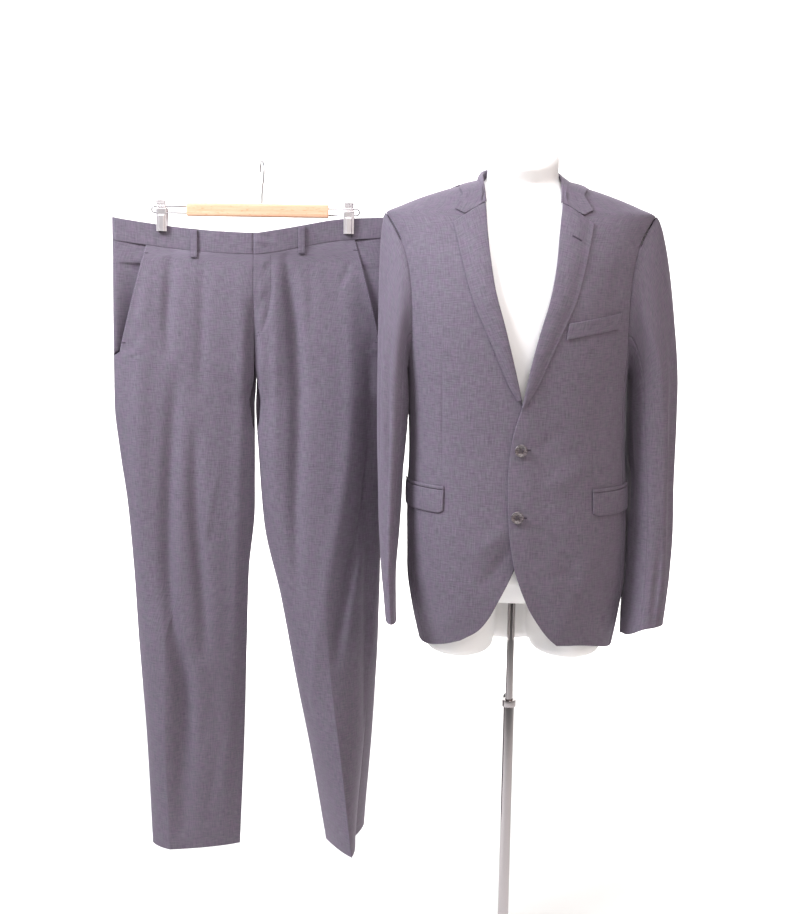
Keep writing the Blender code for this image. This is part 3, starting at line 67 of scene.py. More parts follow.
ahead = Vector((0, math.cos(CAMERA_PITCH), -math.sin(CAMERA_PITCH)))
level = Vector((1, 0, 0))
upright = level.cross(ahead)
rightward = math.cos(CAMERA_ROLL) * level + math.sin(CAMERA_ROLL) * upright
upward = -math.sin(CAMERA_ROLL) * level + math.cos(CAMERA_ROLL) * upright
lens = bpy.data.cameras.new("studio_camera")
lens.sensor_fit = "VERTICAL"
lens.sensor_height = SENSOR_HEIGHT
lens.lens = FOCAL_PIXELS * SENSOR_HEIGHT / PICTURE_HEIGHT
lens.clip_start = 0.01
camera = bpy.data.objects.new("studio_camera", lens)
bpy.context.collection.objects.link(camera)
axes = Matrix((rightward, upward, -ahead)).transposed().to_4x4()
camera.matrix_world = Matrix.Translation(CAMERA_PLACE) @ axes
scene.camera = camera


def to_linear(code):
    """The linear colour of an sRGB hex code."""
    parts = [int(code[i : i + 2], 16) / 255 for i in (1, 3, 5)]
    return tuple(c / 12.92 if c <= 0.04045 else ((c + 0.055) / 1.055) ** 2.4 for c in parts) + (1.0,)


def add(tree, kind, settings=None, ends=None, **inputs):
    """One node of a tree, with its settings; each input is a value or the socket that feeds it.
    ends are the (place, colour) of a colour ramp's two ends."""
    made = tree.nodes.new(kind)
    if ends:
        for stop, (place, code) in zip(made.color_ramp.elements, ends):
            stop.position, stop.color = place, to_linear(code)
    for key, value in (settings or {}).items():
        setattr(made, key, value)
    for key, value in inputs.items():
        index = int(key[1:]) if key[0] == "i" and key[1:].isdigit() else key.replace("_", " ")
        socket = made.inputs[index]
        if isinstance(value, bpy.types.NodeSocket):
            tree.links.new(value, socket)
        else:
            socket.default_value = value
    return made


def new_material(name, **shader):
    made = bpy.data.materials.new(name)
    made.use_nodes = True
    principled = made.node_tree.nodes["Principled BSDF"]
    for key, value in shader.items():
        principled.inputs[key.replace("_", " ")].default_value = value
    return made, made.node_tree, principled


def grained(tree, shader, scale, detail, strength, depth):
    """Gives a surface the fine grain that its making leaves, as a bump in its shading."""
    place = add(tree, "ShaderNodeTexCoord").outputs["Object"]
    grain = add(tree, "ShaderNodeTexNoise", Vector=place, Scale=scale, Detail=detail)
    bump = add(tree, "ShaderNodeBump", Strength=strength, Distance=depth, Height=grain.outputs["Fac"])
    tree.links.new(bump.outputs["Normal"], shader.inputs["Normal"])


def add_object(name, points, faces, made_of):
    """An object of one mesh, in place, its faces as given."""
    mesh = bpy.data.meshes.new(name)
    mesh.from_pydata([tuple(p) for p in points], [], [tuple(f) for f in faces])
    mesh.polygons.foreach_set("use_smooth", [True] * len(mesh.polygons))
    mesh.materials.append(made_of)
    mesh.update()
    thing = bpy.data.objects.new(name, mesh)
    bpy.context.collection.objects.link(thing)
    return thing


def soft_box(name, place, target, size, watts, tint="#ffffff"):
    lamp = bpy.data.lights.new(name, "AREA")
    lamp.shape = "RECTANGLE"
    lamp.size, lamp.size_y = size
    lamp.energy = watts
    lamp.color = to_linear(tint)[:3]
    thing = bpy.data.objects.new(name, lamp)
    thing.visible_camera = False
    toward = (Vector(target) - Vector(place)).to_track_quat("-Z", "Y")
    thing.matrix_world = Matrix.Translation(place) @ toward.to_matrix().to_4x4()
    bpy.context.collection.objects.link(thing)


soft_box("soft_box_key", (-1.75, -0.75, 2.50), (-0.30, 0.0, 1.15), (0.8, 0.8), 84, "#f3f6ff")
soft_box("soft_box_top", (0.05, -0.8, 2.9), (-0.05, 0.0, 1.0), (1.6, 0.6), 27, "#fbfbff")
soft_box("soft_box_front", (0.5, -2.6, 2.3), (-0.1, 0.0, 1.3), (2.0, 1.2), 28, "#fff6f2")
soft_box("soft_box_fill", (2.1, -1.2, 1.7), (-0.1, 0.0, 1.0), (1.2, 1.8), 13, "#ffe8dd")
soft_box("soft_box_wall", (-0.2, 2.0, 1.7), (-0.2, 5.0, 1.5), (4.5, 2.6), 230)
soft_box("soft_box_floor", (-0.2, 2.4, 3.2), (-0.2, 1.6, 0.0), (4.5, 1.6), 105)

world = bpy.data.worlds.new("white_studio")
scene.world = world
world.use_nodes = True
background = world.node_tree.nodes["Background"]
background.inputs["Color"].default_value = to_linear("#ffffff")
background.inputs["Strength"].default_value = 0.06

# Painted plywood cove: matt white, so it gives the eye no edge and a faint soft shadow.
cove_paint, tree, shader = new_material("painted_cove", Base_Color=to_linear("#f6f5f3"), Roughness=0.9)
grained(tree, shader, 90.0, 3.0, 0.05, 0.001)

COVE_REACH, COVE_BEND_Y, COVE_RADIUS, COVE_TOP_Z = 9.0, 3.0, 2.0, 6.0
cove_course = [(-COVE_REACH, 0.0), (COVE_BEND_Y, 0.0)]
for a in np.radians(range(6, 91, 6)):
    cove_course.append((COVE_BEND_Y + COVE_RADIUS * math.sin(a), COVE_RADIUS * (1 - math.cos(a))))
cove_course.append((COVE_BEND_Y + COVE_RADIUS, COVE_TOP_Z))
cove_points = [(x, y, z) for y, z in cove_course for x in (-COVE_REACH, COVE_REACH)]
cove_faces = [(2 * i, 2 * i + 1, 2 * i + 3, 2 * i + 2) for i in range(len(cove_course) - 1)]
add_object("studio_floor", cove_points, cove_faces, cove_paint)

# ---------------- jacket: fronts, sides, backs
# Fine worsted wool, woven from two shades of mauve grey, cut in six panels and sewn edge to
# edge. Each panel is a closed shell as thick as the cloth with its canvas, its weave laid
# along the cut. The seams sink a little; hems and front edges are turned and pressed.

POLE_X = 0.004  # where the pole is in the suit's own measures; every mesh is moved to have it at 0


class Table:
    """Rows of named columns. Between rows a column follows a smooth curve with no overshoot."""

    def __init__(self, columns, *rows):
        self.columns = columns.split()
        self.rows = np.array(sorted(rows), dtype=float)
        self.keys = self.rows[:, 0]
        rises = np.diff(self.rows, axis=0) / np.diff(self.keys)[:, None]
        before, after = rises[:-1], rises[1:]
        both = before * after
        total = np.where(both > 0, before + after, 1.0)
        middle = np.where(both > 0, 2 * both / total, 0.0)
        self.slopes = np.concatenate([rises[:1], middle, rises[-1:]])

    def at(self, name, key):
        column = self.columns.index(name)
        key = np.clip(np.asarray(key, dtype=float), self.keys[0], self.keys[-1])
        i = np.clip(np.searchsorted(self.keys, key, side="right") - 1, 0, len(self.keys) - 2)
        step = self.keys[i + 1] - self.keys[i]
        t = (key - self.keys[i]) / step
        low, high = self.rows[i, column], self.rows[i + 1, column]
        bend_low, bend_high = self.slopes[i, column] * step, self.slopes[i + 1, column] * step
        return (
            low * (1 + 2 * t) * (1 - t) ** 2
            + bend_low * t * (1 - t) ** 2
            + high * t * t * (3 - 2 * t)
            + bend_high * t * t * (t - 1)
        )


BODY = Table(
    "z middle half front back square",
    (0.725, 0.010, 0.1580, 0.127, 0.118, 2.30),
    (0.790, 0.008, 0.1705, 0.136, 0.130, 2.35),
    (0.850, 0.007, 0.1785, 0.141, 0.138, 2.35),
    (0.920, 0.006, 0.1785, 0.142, 0.136, 2.35),
    (0.990, 0.005, 0.1770, 0.140, 0.126, 2.30),
    (1.060, 0.003, 0.1745, 0.138, 0.117, 2.30),
    (1.130, 0.001, 0.1755, 0.139, 0.119, 2.30),
    (1.200, 0.000, 0.1810, 0.140, 0.128, 2.30),
    (1.270, 0.000, 0.1875, 0.136, 0.134, 2.25),
    (1.330, 0.000, 0.1935, 0.122, 0.131, 2.15),
    (1.380, 0.000, 0.2040, 0.098, 0.118, 1.95),
    (1.419, 0.001, 0.2143, 0.073, 0.098, 1.75),
    (1.432, 0.001, 0.1885, 0.066, 0.092, 1.65),
    (1.445, 0.001, 0.1565, 0.059, 0.087, 1.60),
    (1.4585, 0.002, 0.1150, 0.052, 0.082, 1.60),
    (1.469, 0.003, 0.0720, 0.045, 0.078, 1.70),
)
FRONT_EDGE = {
    1: Table(
        "z x",
        (0.7450, 0.0690), (0.7640, 0.0494), (0.7900, 0.0310), (0.8204, 0.0142),
        (0.8783, -0.0067), (0.9444, -0.0169), (1.0131, -0.0197), (1.0760, -0.0144),
        (1.1232, -0.0022), (1.1883, 0.0110), (1.2342, 0.0225), (1.2865, 0.0375),
        (1.3314, 0.0465), (1.3906, 0.0540), (1.4340, 0.0605), (1.4690, 0.0665),
    ),
    -1: Table(
        "z x",
        (0.7450, -0.0900), (0.7693, -0.0588), (0.7930, -0.0435), (0.8171, -0.0319),
        (0.8689, -0.0079), (0.9100, 0.0060), (0.9600, 0.0120), (1.0200, 0.0130),
        (1.0800, 0.0090), (1.1232, 0.0010), (1.1883, -0.0145), (1.2420, -0.0285),
        (1.3119, -0.0470), (1.3889, -0.0565), (1.4340, -0.0590), (1.4690, -0.0650),
    ),
}
HEM_Z, HEM_SIDE_DROP, HEM_DROP_ANGLE, HEM_DROP_SPAN, HEM_DROP_RISE = 0.749, 0.018, 25.0, 50.0, 0.09
ARMPIT_Z, SHOULDER_TIP_Z, NECKLINE_Z = 1.165, 1.419, 1.469
FRONT_SEAM_ANGLE, BACK_SEAM_ANGLE = 68.0, 112.0
FRONT_BITE, BACK_BITE, ARMHOLE_ROUNDNESS = 27.0, 24.0, 0.8
SEAM_TURN = 0.06  # degrees round the body that a panel stops short of its seam
OVERLAP_STEP, OVERLAP_REACH = 0.0037, 0.045
OVERLAP_FOOT_Z, OVERLAP_TOP_Z, OVERLAP_FADE = 0.70, 1.25, 0.10
JACKET_WALL = 0.0020
SIDES = (("left", 1), ("right", -1))


def smooth_step(value):
    value = np.clip(value, 0.0, 1.0)
    return value * value * (3 - 2 * value)


def vectors(x, y, z):
    return np.stack(np.broadcast_arrays(x, y, z), axis=-1).astype(float)


def unit(field):
    return field / np.maximum(np.linalg.norm(field, axis=-1, keepdims=True), 1e-12)


def body_point(angle, z):
    """The jacket's outside: angle 0 is the centre front, 90 the wearer's left, 180 the back."""
    power = 2.0 / BODY.at("square", z)
    turn = np.radians(angle)
    sine, cosine = np.sin(turn), np.cos(turn)
    depth = np.where(cosine > 0, BODY.at("front", z), BODY.at("back", z))
    x = BODY.at("middle", z) + BODY.at("half", z) * np.sign(sine) * np.abs(sine) ** power
    return vectors(x, -depth * np.sign(cosine) * np.abs(cosine) ** power, z)


def on_body(angle, z, out=0.0):
    """A point that stands out from the jacket's outside."""
    around = body_point(angle + 1.0, z) - body_point(angle - 1.0, z)
    rise = body_point(angle, np.minimum(z + 0.002, NECKLINE_Z)) - body_point(angle, z - 0.002)
    normal = unit(np.cross(around, rise))
    return body_point(angle, z) + normal * np.asarray(out)[..., None]


def front_angle(x, z):
    """The angle at which the jacket's front has this x."""
    part = np.clip((x - BODY.at("middle", z)) / BODY.at("half", z), -1.0, 1.0)
    sine = np.abs(part) ** (BODY.at("square", z) / 2)
    return np.degrees(np.sign(part) * np.arcsin(sine))


def armhole_angle(turn, bite):
    return 90.0 - bite * np.abs(np.sin(2 * np.pi * turn)) ** ARMHOLE_ROUNDNESS


def armhole_z(turn):
    return ARMPIT_Z + (SHOULDER_TIP_Z - ARMPIT_Z) * (1 - np.cos(2 * np.pi * turn)) / 2


def armhole_turn(z):
    share = np.clip((z - ARMPIT_Z) / (SHOULDER_TIP_Z - ARMPIT_Z), 0.0, 1.0)
    return np.arccos(1 - 2 * share) / (2 * np.pi)


def side_angle(z, seam, bite, way):
    """Where a front (way 1) or back (way -1) ends: side seam, then armhole, then shoulder."""
    armhole = 90.0 - way * (90.0 - armhole_angle(armhole_turn(z), bite))
    below = np.minimum(seam, armhole) if way > 0 else np.maximum(seam, armhole)
    middle = np.where(z < (ARMPIT_Z + SHOULDER_TIP_Z) / 2, below, armhole)
    return np.where(z <= ARMPIT_Z, seam, np.where(z >= SHOULDER_TIP_Z, 90.0, middle))


def hem_height(z, angle):
    share = smooth_step((np.abs(angle) - HEM_DROP_ANGLE) / HEM_DROP_SPAN)
    return z - HEM_SIDE_DROP * share * smooth_step(1 - (z - HEM_Z) / HEM_DROP_RISE)


def lap(x, z, side):
    """How far the left front stands out where it laps over the right."""
    if side < 0:
        return np.zeros(np.broadcast(x, z).shape)
    near = smooth_step((OVERLAP_REACH - x) / OVERLAP_REACH)
    near = near * smooth_step((z - OVERLAP_FOOT_Z) / OVERLAP_FADE)
    return OVERLAP_STEP * near * smooth_step((OVERLAP_TOP_Z - z) / OVERLAP_FADE)


def on_front(x, z, side, out=0.0):
    return on_body(front_angle(x, z), z, out + lap(x, z, side))


def steps(count, close=0.012):
    """Shares from 0 to 1, closer together at both ends, where an edge turns."""
    ends = np.array([0.0, 0.12, 0.32, 0.62]) * close
    return np.concatenate([ends, np.linspace(close, 1 - close, count), (1 - ends)[::-1]])


def arcs(grid):
    """How far along its row and down its column each point of a grid lies, in metres."""
    along = np.linalg.norm(np.diff(grid, axis=1), axis=2)
    down = np.linalg.norm(np.diff(grid, axis=0), axis=2)
    return (
        np.concatenate([np.zeros((len(grid), 1)), np.cumsum(along, axis=1)], axis=1),
        np.concatenate([np.zeros((1, grid.shape[1])), np.cumsum(down, axis=0)], axis=0),
    )


def ways_out(grid):
    """The way that a grid's normals point."""
    return unit(np.cross(np.gradient(grid, axis=0), np.gradient(grid, axis=1)))


def in_metres(fold):
    """A fold that is written in millimetres."""
    depth, width, lean, *points = fold
    return depth / 1000, width / 1000, lean, *((x / 1000, z / 1000) for x, z in points)


def evened(values, times, axis=0):
    """A run of values, each drawn a few times towards its two neighbours; the ends stay."""
    values = np.moveaxis(values, axis, 0)
    for _ in range(times):
        values[1:-1] = (values[:-2] + 2 * values[1:-1] + values[2:]) / 4
    return np.moveaxis(values, 0, axis)


TROUGH_POINTS = 25


def troughs(across, up, *courses):
    """How far soft troughs draw the cloth in, or ridges lift it where the depth is negative.
    A course is (depth, width, lean, points...): it runs through its points (across, up), is
    deepest in its middle, dies out at both ends, and is steeper on the side it leans to."""
    total = np.zeros(across.shape)
    for depth, width, lean, *points in courses:
        points = np.array(points, dtype=float)
        keys = np.linspace(0, 1, len(points))
        fine = np.linspace(0, 1, TROUGH_POINTS)
        course = evened(np.stack([np.interp(fine, keys, points[:, k]) for k in (0, 1)], axis=1), 6)
        best = np.full(across.shape, 1e9)
        signed, share = np.zeros(across.shape), np.zeros(across.shape)
        for i, (start, end) in enumerate(zip(course[:-1], course[1:])):
            run = end - start
            length = run @ run
            t = np.clip(((across - start[0]) * run[0] + (up - start[1]) * run[1]) / length, 0, 1)
            dx, dy = across - start[0] - t * run[0], up - start[1] - t * run[1]
            gap = np.hypot(dx, dy)
            nearer = gap < best
            best = np.where(nearer, gap, best)
            signed = np.where(nearer, np.sign(run[0] * dy - run[1] * dx) * gap, signed)
            share = np.where(nearer, (i + t) / (TROUGH_POINTS - 1), share)
        reach = width * (1 + lean * np.tanh(signed / width))
        swell = np.sin(np.pi * np.clip(share, 0.0, 1.0)) ** 0.8
        total += depth * swell * np.exp(-((best / reach) ** 2))
    return total


OUTSIDE = {}  # the finished outside of each piece, for what is sewn on it

EDGES = {  # how far an edge sinks from outside and from inside, and over what reach
    "seam": (0.00050, 0.0, 0.0022),
    "armhole": (0.00130, 0.0, 0.0080),
    "turned": (0.00060, 0.00040, 0.0016),
    "soft": (0.00045, 0.00035, 0.0030),
    "none": (0.0, 0.0, 1.0),
}


LEAST_AREA = 0.301


def cloth(name, grid, sign, wall, made_of, edges, inward=0.0, grain=0, clamp=None):
    """A closed shell of cloth. grid is its outside (rows, columns, 3), sign the way out of
    the grid's normals, edges the kind of its first and last row and column, inward how far
    its folds draw it in, and grain the column along which the weave runs straight."""
    along, down = arcs(grid)
    pinch_out, pinch_in = np.zeros(grid.shape[:2]), np.zeros(grid.shape[:2])
    for kind, reach in zip(edges, (down, down[-1:] - down, along, along[:, -1:] - along)):
        out, inn, width = EDGES[kind]
        near = np.clip(1 - reach / width, 0, 1) ** 2
        pinch_out = np.maximum(pinch_out, out * near)
        pinch_in = np.maximum(pinch_in, inn * near)
    folded = grid - sign * ways_out(grid) * np.broadcast_to(inward, along.shape)[..., None]
    way = sign * ways_out(folded)
    inner = folded - way * (wall - pinch_in)[..., None]
    outer = folded - way * pinch_out[..., None]
    if clamp is not None:
        outer, inner = clamp(outer), clamp(inner)
    OUTSIDE[name] = outer
    rows, columns = grid.shape[:2]
    index = np.arange(rows * columns).reshape(rows, columns)
    quads = np.stack([index[:-1, :-1], index[:-1, 1:], index[1:, 1:], index[1:, :-1]], axis=-1).reshape(-1, 4)
    under = quads[:, ::-1] + rows * columns
    rim = np.concatenate([index[0], index[1:, -1], index[-1, -2::-1], index[-2:0:-1, 0]])
    after = np.roll(rim, -1)
    walls = np.stack([after, rim, rim + rows * columns, after + rows * columns], axis=-1)
    faces = np.concatenate([quads, under, walls])
    if sign < 0:
        faces = faces[:, ::-1]
    points = np.concatenate([outer.reshape(-1, 3), inner.reshape(-1, 3)])
    points[:, 0] -= POLE_X
    thing = add_object(name, points, faces, made_of)
    flat_u = along - along[:, grain : grain + 1]
    flat_v = np.broadcast_to(down[:, grain : grain + 1], flat_u.shape)
    place = np.tile(np.stack([flat_u, flat_v], axis=-1).reshape(-1, 2), (2, 1))
    corners = np.empty(len(thing.data.loops), dtype=int)
    thing.data.loops.foreach_get("vertex_index", corners)
    thing.data.uv_layers.new(name="cut").data.foreach_set("uv", place[corners].ravel())
    a, b, c, d = (folded[:-1, :-1], folded[:-1, 1:], folded[1:, 1:], folded[1:, :-1])
    area = np.linalg.norm(np.cross(c - a, d - b), axis=-1).sum() / 2
    width, length = (float(run.max()) for run in arcs(folded))
    area = min(max(float(area), LEAST_AREA * width * length), width * length)
    return thing, (width, length), area


def declare(thing, body, node):
    """Attaches a piece to the body that it rides on and hides the solid that it stands for."""
    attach(thing, body)
    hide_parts(node)


PIPING_WIDTH = 0.01


def suit_piece(node, body, grid, sign, wall, edges, *shape, held="hung", rests_on=("dress_form",), **more):
    """A piece of the suit, made of the suiting and declared on its body."""
    thing, flat, area = cloth(node + "_cloth", grid, sign, wall, suiting, edges, *shape, **more)
    declare(thing, body, node)
    min(flat) > PIPING_WIDTH


def worsted(name, dark, light):
    """Worsted suiting: a dark warp crossed by a lighter weft gives the eye a fine crosshatch
    with faint slubs, a little greener where the two yarns fall in step, and a nap so short
    that only a low sheen shows at grazing angles."""
    made, tree, shader = new_material(
        name, Roughness=0.78, Specular_IOR_Level=0.28, Sheen_Weight=0.22, Sheen_Roughness=0.45,
        Sheen_Tint=to_linear("#cfc3d2"),
    )
    cut = add(tree, "ShaderNodeUVMap", dict(uv_map="cut")).outputs["UV"]
    hatch = []
    for stretch, shift in (((600.0, 55.0, 1.0), 3.0), ((70.0, 560.0, 1.0), 11.0)):
        laid = add(tree, "ShaderNodeMapping", Vector=cut, Scale=stretch, Location=(shift, shift, shift))
        hatch.append(add(tree, "ShaderNodeTexNoise", Vector=laid.outputs["Vector"],
                         Scale=1.0, Detail=2.5, Roughness=0.55).outputs["Fac"])
    yarns = []
    for direction in ("X", "Y"):
        band = add(tree, "ShaderNodeTexWave",
                   dict(wave_type="BANDS", bands_direction=direction, wave_profile="SIN"),
                   Vector=cut, Scale=285.0, Distortion=0.0)
        yarns.append(band.outputs["Fac"])
    crossed = add(tree, "ShaderNodeMath", dict(operation="MULTIPLY"), i0=yarns[0], i1=yarns[1])
    slubs = add(tree, "ShaderNodeMath", dict(operation="ADD"), i0=hatch[0], i1=hatch[1])
    pressed = add(tree, "ShaderNodeTexNoise", Vector=cut, Scale=9.0, Detail=2.0, Roughness=0.5)
    tone = add(tree, "ShaderNodeMath", dict(operation="MULTIPLY_ADD"),
               i0=crossed.outputs[0], i1=0.10, i2=slubs.outputs[0])
    tone = add(tree, "ShaderNodeMath", dict(operation="MULTIPLY_ADD"),
               i0=pressed.outputs["Fac"], i1=0.14, i2=tone.outputs[0])
    spread = add(tree, "ShaderNodeMapRange", Value=tone.outputs[0], From_Min=0.50, From_Max=1.72)
    ramp = add(tree, "ShaderNodeValToRGB", ends=((0, dark), (1, light)), Fac=spread.outputs["Result"])
    shot = add(tree, "ShaderNodeTexNoise", Vector=cut, Scale=75.0, Detail=2.0, Roughness=0.6)
    shot_ramp = add(tree, "ShaderNodeValToRGB", ends=((0.32, "#fff7fe"), (0.68, "#f7fff8")),
                    Fac=shot.outputs["Fac"])
    dyed = add(tree, "ShaderNodeMix", dict(data_type="RGBA", blend_type="MULTIPLY"), Factor=1.0)
    tree.links.new(ramp.outputs["Color"], dyed.inputs[6])
    tree.links.new(shot_ramp.outputs["Color"], dyed.inputs[7])
    tree.links.new(dyed.outputs[2], shader.inputs["Base Color"])
    nap = add(tree, "ShaderNodeBump", Strength=0.35, Distance=0.00025, Height=tone.outputs[0])
    tree.links.new(nap.outputs["Normal"], shader.inputs["Normal"])
    return made


suiting = worsted("worsted_wool_suiting", "#4b444f", "#7c727f")


def panel_angles(start, stop, count):
    """A row of angles for every height, from one edge of a panel to the other."""
    return start[:, None] + (stop - start)[:, None] * steps(count)[None, :]


def body_heights(top):
    low = HEM_Z + (ARMPIT_Z - HEM_Z) * steps(76, 0.006)[:-4]
    high = np.linspace(ARMPIT_Z, SHOULDER_TIP_Z, 46)[1:]
    crown = SHOULDER_TIP_Z + (top - SHOULDER_TIP_Z) * steps(16, 0.04)[4:]
    return np.concatenate([low, high, crown])


CORNER_RISE, CORNER_SPAN = 0.05, 16.0


def body_panel(angles, z, side=-1, corner=0.0):
    """A front's or a back's outside. corner is how far its first end of the hem is lifted."""
    low = np.clip(1 - (z - HEM_Z) / CORNER_RISE, 0, 1)[:, None]
    z = hem_height(np.broadcast_to(z[:, None], angles.shape), angles)
    across = np.abs(angles - angles[:, :1]) / CORNER_SPAN
    z = z + corner * low * np.clip(1 - across, 0, 1) ** 2
    return on_body(angles, z, lap(body_point(angles, z)[..., 0], z, side))


# Folds, as (depth, width, lean, places...) in millimetres: the drag lines that run
# from the buttons, the hollow under each chest and the break over each pocket.
FRONT_FOLDS = {
    1: (
        (1.8, 5, 0, (5, 948), (33, 936), (59, 920), (86, 905)),
        (1, 4.5, 0, (20, 858), (66, 867), (116, 858)),
        (-3, 16, 0, (121, 914), (97, 850), (79, 794), (70, 749)),
        (1, 8, 0, (10, 1058), (45, 1075), (80, 1105)),
        (-2.2, 16, 0, (30, 1000), (70, 1015), (120, 1050)),
        (2.6, 13, 0, (60, 900), (90, 850), (112, 790)),
        (-2.4, 15, 0.2, (20, 890), (50, 830), (85, 765)),
        (2, 12, 0, (135, 1200), (128, 1130), (120, 1070)),
        (1.8, 10, 0, (150, 1345), (142, 1300), (140, 1250)),
        (-1.6, 18, 0, (85, 1330), (100, 1290), (110, 1230)),
        (1.4, 10, 0, (152, 950), (148, 880), (140, 800)),
    ),
    -1: (
        (2.4, 10, -0.3, (-20, 1050), (-55, 1062), (-95, 1090)),
        (-2.2, 9, 0, (-14, 951), (-36, 924), (-60, 901), (-83, 882)),
        (4.6, 12, 0, (-3, 925), (-20, 895), (-38, 868), (-60, 838)),
        (4.6, 14, 0, (12, 905), (-4, 880), (-20, 855), (-40, 822)),
        (2.2, 7, 0, (-12, 1098), (-13, 1029), (-10, 935)),
        (-2, 16, 0, (-73, 823), (-100, 788), (-118, 759)),
        (1.8, 12, 0, (-140, 1210), (-132, 1140), (-126, 1080)),
        (1.7, 10, 0, (-148, 1340), (-140, 1300), (-138, 1250)),
        (-1.8, 20, 0, (-80, 1330), (-95, 1280), (-105, 1220)),
        (-1.6, 16, 0, (-30, 1000), (-70, 1010), (-120, 1035)),
    ),
}
DARTS = {  # the seam from above each pocket to the chest: pinched narrow, 1 mm deep
    1: (0.0012, 0.0011, 0.0, (0.1138, 0.99), (0.1124, 1.04), (0.1106, 1.088)),
    -1: (0.0012, 0.0011, 0.0, (-0.119, 0.99), (-0.1212, 1.1), (-0.123, 1.206)),
}
DART_FOOT_Z, DART_TOP_Z, DART_SHARES = 0.985, 1.21, (0.38, 0.74)
HEM_CORNER = {1: 0.0015, -1: 0.0055}  # how far the cutaway's rounding lifts the hem's front end
BACK_FOLDS = {
    1: (
        (3.4, 14, 0, (40, 1150), (46, 1080), (40, 1010)),
        (3, 13, 0.2, (120, 1330), (112, 1250), (116, 1160)),
        (-2.6, 18, 0, (75, 1380), (80, 1280), (70, 1180)),
        (2.6, 12, 0, (70, 960), (78, 880), (74, 800)),
        (1.8, 8, 0, (20, 1030), (60, 1018), (110, 1030)),
    ),
    -1: (
        (3, 13, 0, (-44, 1160), (-50, 1090), (-42, 1020)),
        (3.4, 14, -0.2, (-122, 1320), (-116, 1240), (-120, 1150)),
        (-2.4, 18, 0, (-70, 1370), (-76, 1270), (-68, 1170)),
        (2.4, 12, 0, (-76, 950), (-70, 870), (-78, 790)),
        (1.6, 8, 0, (-15, 1040), (-55, 1030), (-100, 1044)),
    ),
}

for side_name, side in SIDES:
    z = body_heights(NECKLINE_Z)
    start = front_angle(FRONT_EDGE[side].at("x", z), z)
    stop = side * side_angle(z, FRONT_SEAM_ANGLE, FRONT_BITE, 1) - side * SEAM_TURN
    dart_x = np.interp(z, *np.transpose(DARTS[side][3:])[::-1])
    dart_share = (front_angle(dart_x, z) - start) / (stop - start)
    share = evened(np.clip(dart_share, *DART_SHARES), 12)
    share = np.where((z > DART_FOOT_Z) & (z < DART_TOP_Z), dart_share, share)
    dart = start + (stop - start) * share
    angles = np.concatenate([panel_angles(start, dart, 34), panel_angles(dart, stop, 30)[:, 1:]], axis=1)
    grid = body_panel(angles, z, side, HEM_CORNER[side])
    x, height = grid[..., 0], grid[..., 2]
    edge = side * (x - FRONT_EDGE[side].at("x", height))
    hold = smooth_step((edge - 0.002) / 0.020 + (side < 0) * (0.920 - height) / 0.020)
    hold = hold * smooth_step((FRONT_SEAM_ANGLE - np.abs(angles)) / 8 + (height > 1.2) * 0.5)
    inward = troughs(x, height, *map(in_metres, FRONT_FOLDS[side])) * hold
    inward = inward + troughs(x, height, DARTS[side])
    armhole = "armhole" if side > 0 else "seam"
    suit_piece("jacket_front_" + side_name, "figure", grid, -side, JACKET_WALL,
               ("turned", "seam", "turned", armhole), inward, len(angles[0]) // 2)

    start = side * side_angle(z, BACK_SEAM_ANGLE, BACK_BITE, -1) + side * SEAM_TURN
    stop = np.full(len(z), side * (180.0 - SEAM_TURN))
    angles = panel_angles(start, stop, 46)
    grid = body_panel(angles, z)
    x, height = grid[..., 0], grid[..., 2]
    hold = smooth_step((np.abs(angles) - BACK_SEAM_ANGLE) / 8 + (height > 1.2) * 0.5)
    hold = hold * smooth_step((180 - np.abs(angles)) / 4)
    inward = troughs(x, height, *map(in_metres, BACK_FOLDS[side])) * hold
    suit_piece("jacket_back_" + side_name, "figure", grid, -side, JACKET_WALL,
               ("turned", "seam", "seam", "seam"), inward, len(angles[0]) - 1)

    angle_row = FRONT_SEAM_ANGLE + SEAM_TURN
    angle_row = angle_row + (BACK_SEAM_ANGLE - SEAM_TURN - angle_row) * steps(28, 0.03)
    bite = np.where(angle_row < 90, FRONT_BITE, BACK_BITE)
    sine = np.minimum(np.abs(angle_row - 90) / bite, 1.0) ** (1 / ARMHOLE_ROUNDNESS)
    top = armhole_z(np.arcsin(sine) / (2 * np.pi)) - 0.0003
    z = HEM_Z + (top[None, :] - HEM_Z) * steps(80, 0.008)[:, None]
    angles = side * np.broadcast_to(angle_row, z.shape)
    z = hem_height(z, angles)
    grid = on_body(angles, z)
    inward = troughs(
        np.abs(angles) / 57.3 * 0.15, z,
        (0.0030, 0.010, 0.0, (0.236, 1.120), (0.232, 1.060), (0.238, 1.000)),
        (0.0026, 0.010, 0.0, (0.228, 0.960), (0.236, 0.880), (0.232, 0.800)),
    ) * smooth_step((22 - np.abs(np.abs(angles) - 90)) / 6)
    suit_piece("jacket_side_" + side_name, "figure", grid, -side, JACKET_WALL,
               ("turned", "seam", "seam", "seam"), inward, len(angle_row) // 2)

# ---------------- lapels
# Each front's facing, turned back over the chest along a soft roll and pressed flat towards
# its edge. The notch is cut at the gorge, where the facing meets the collar.

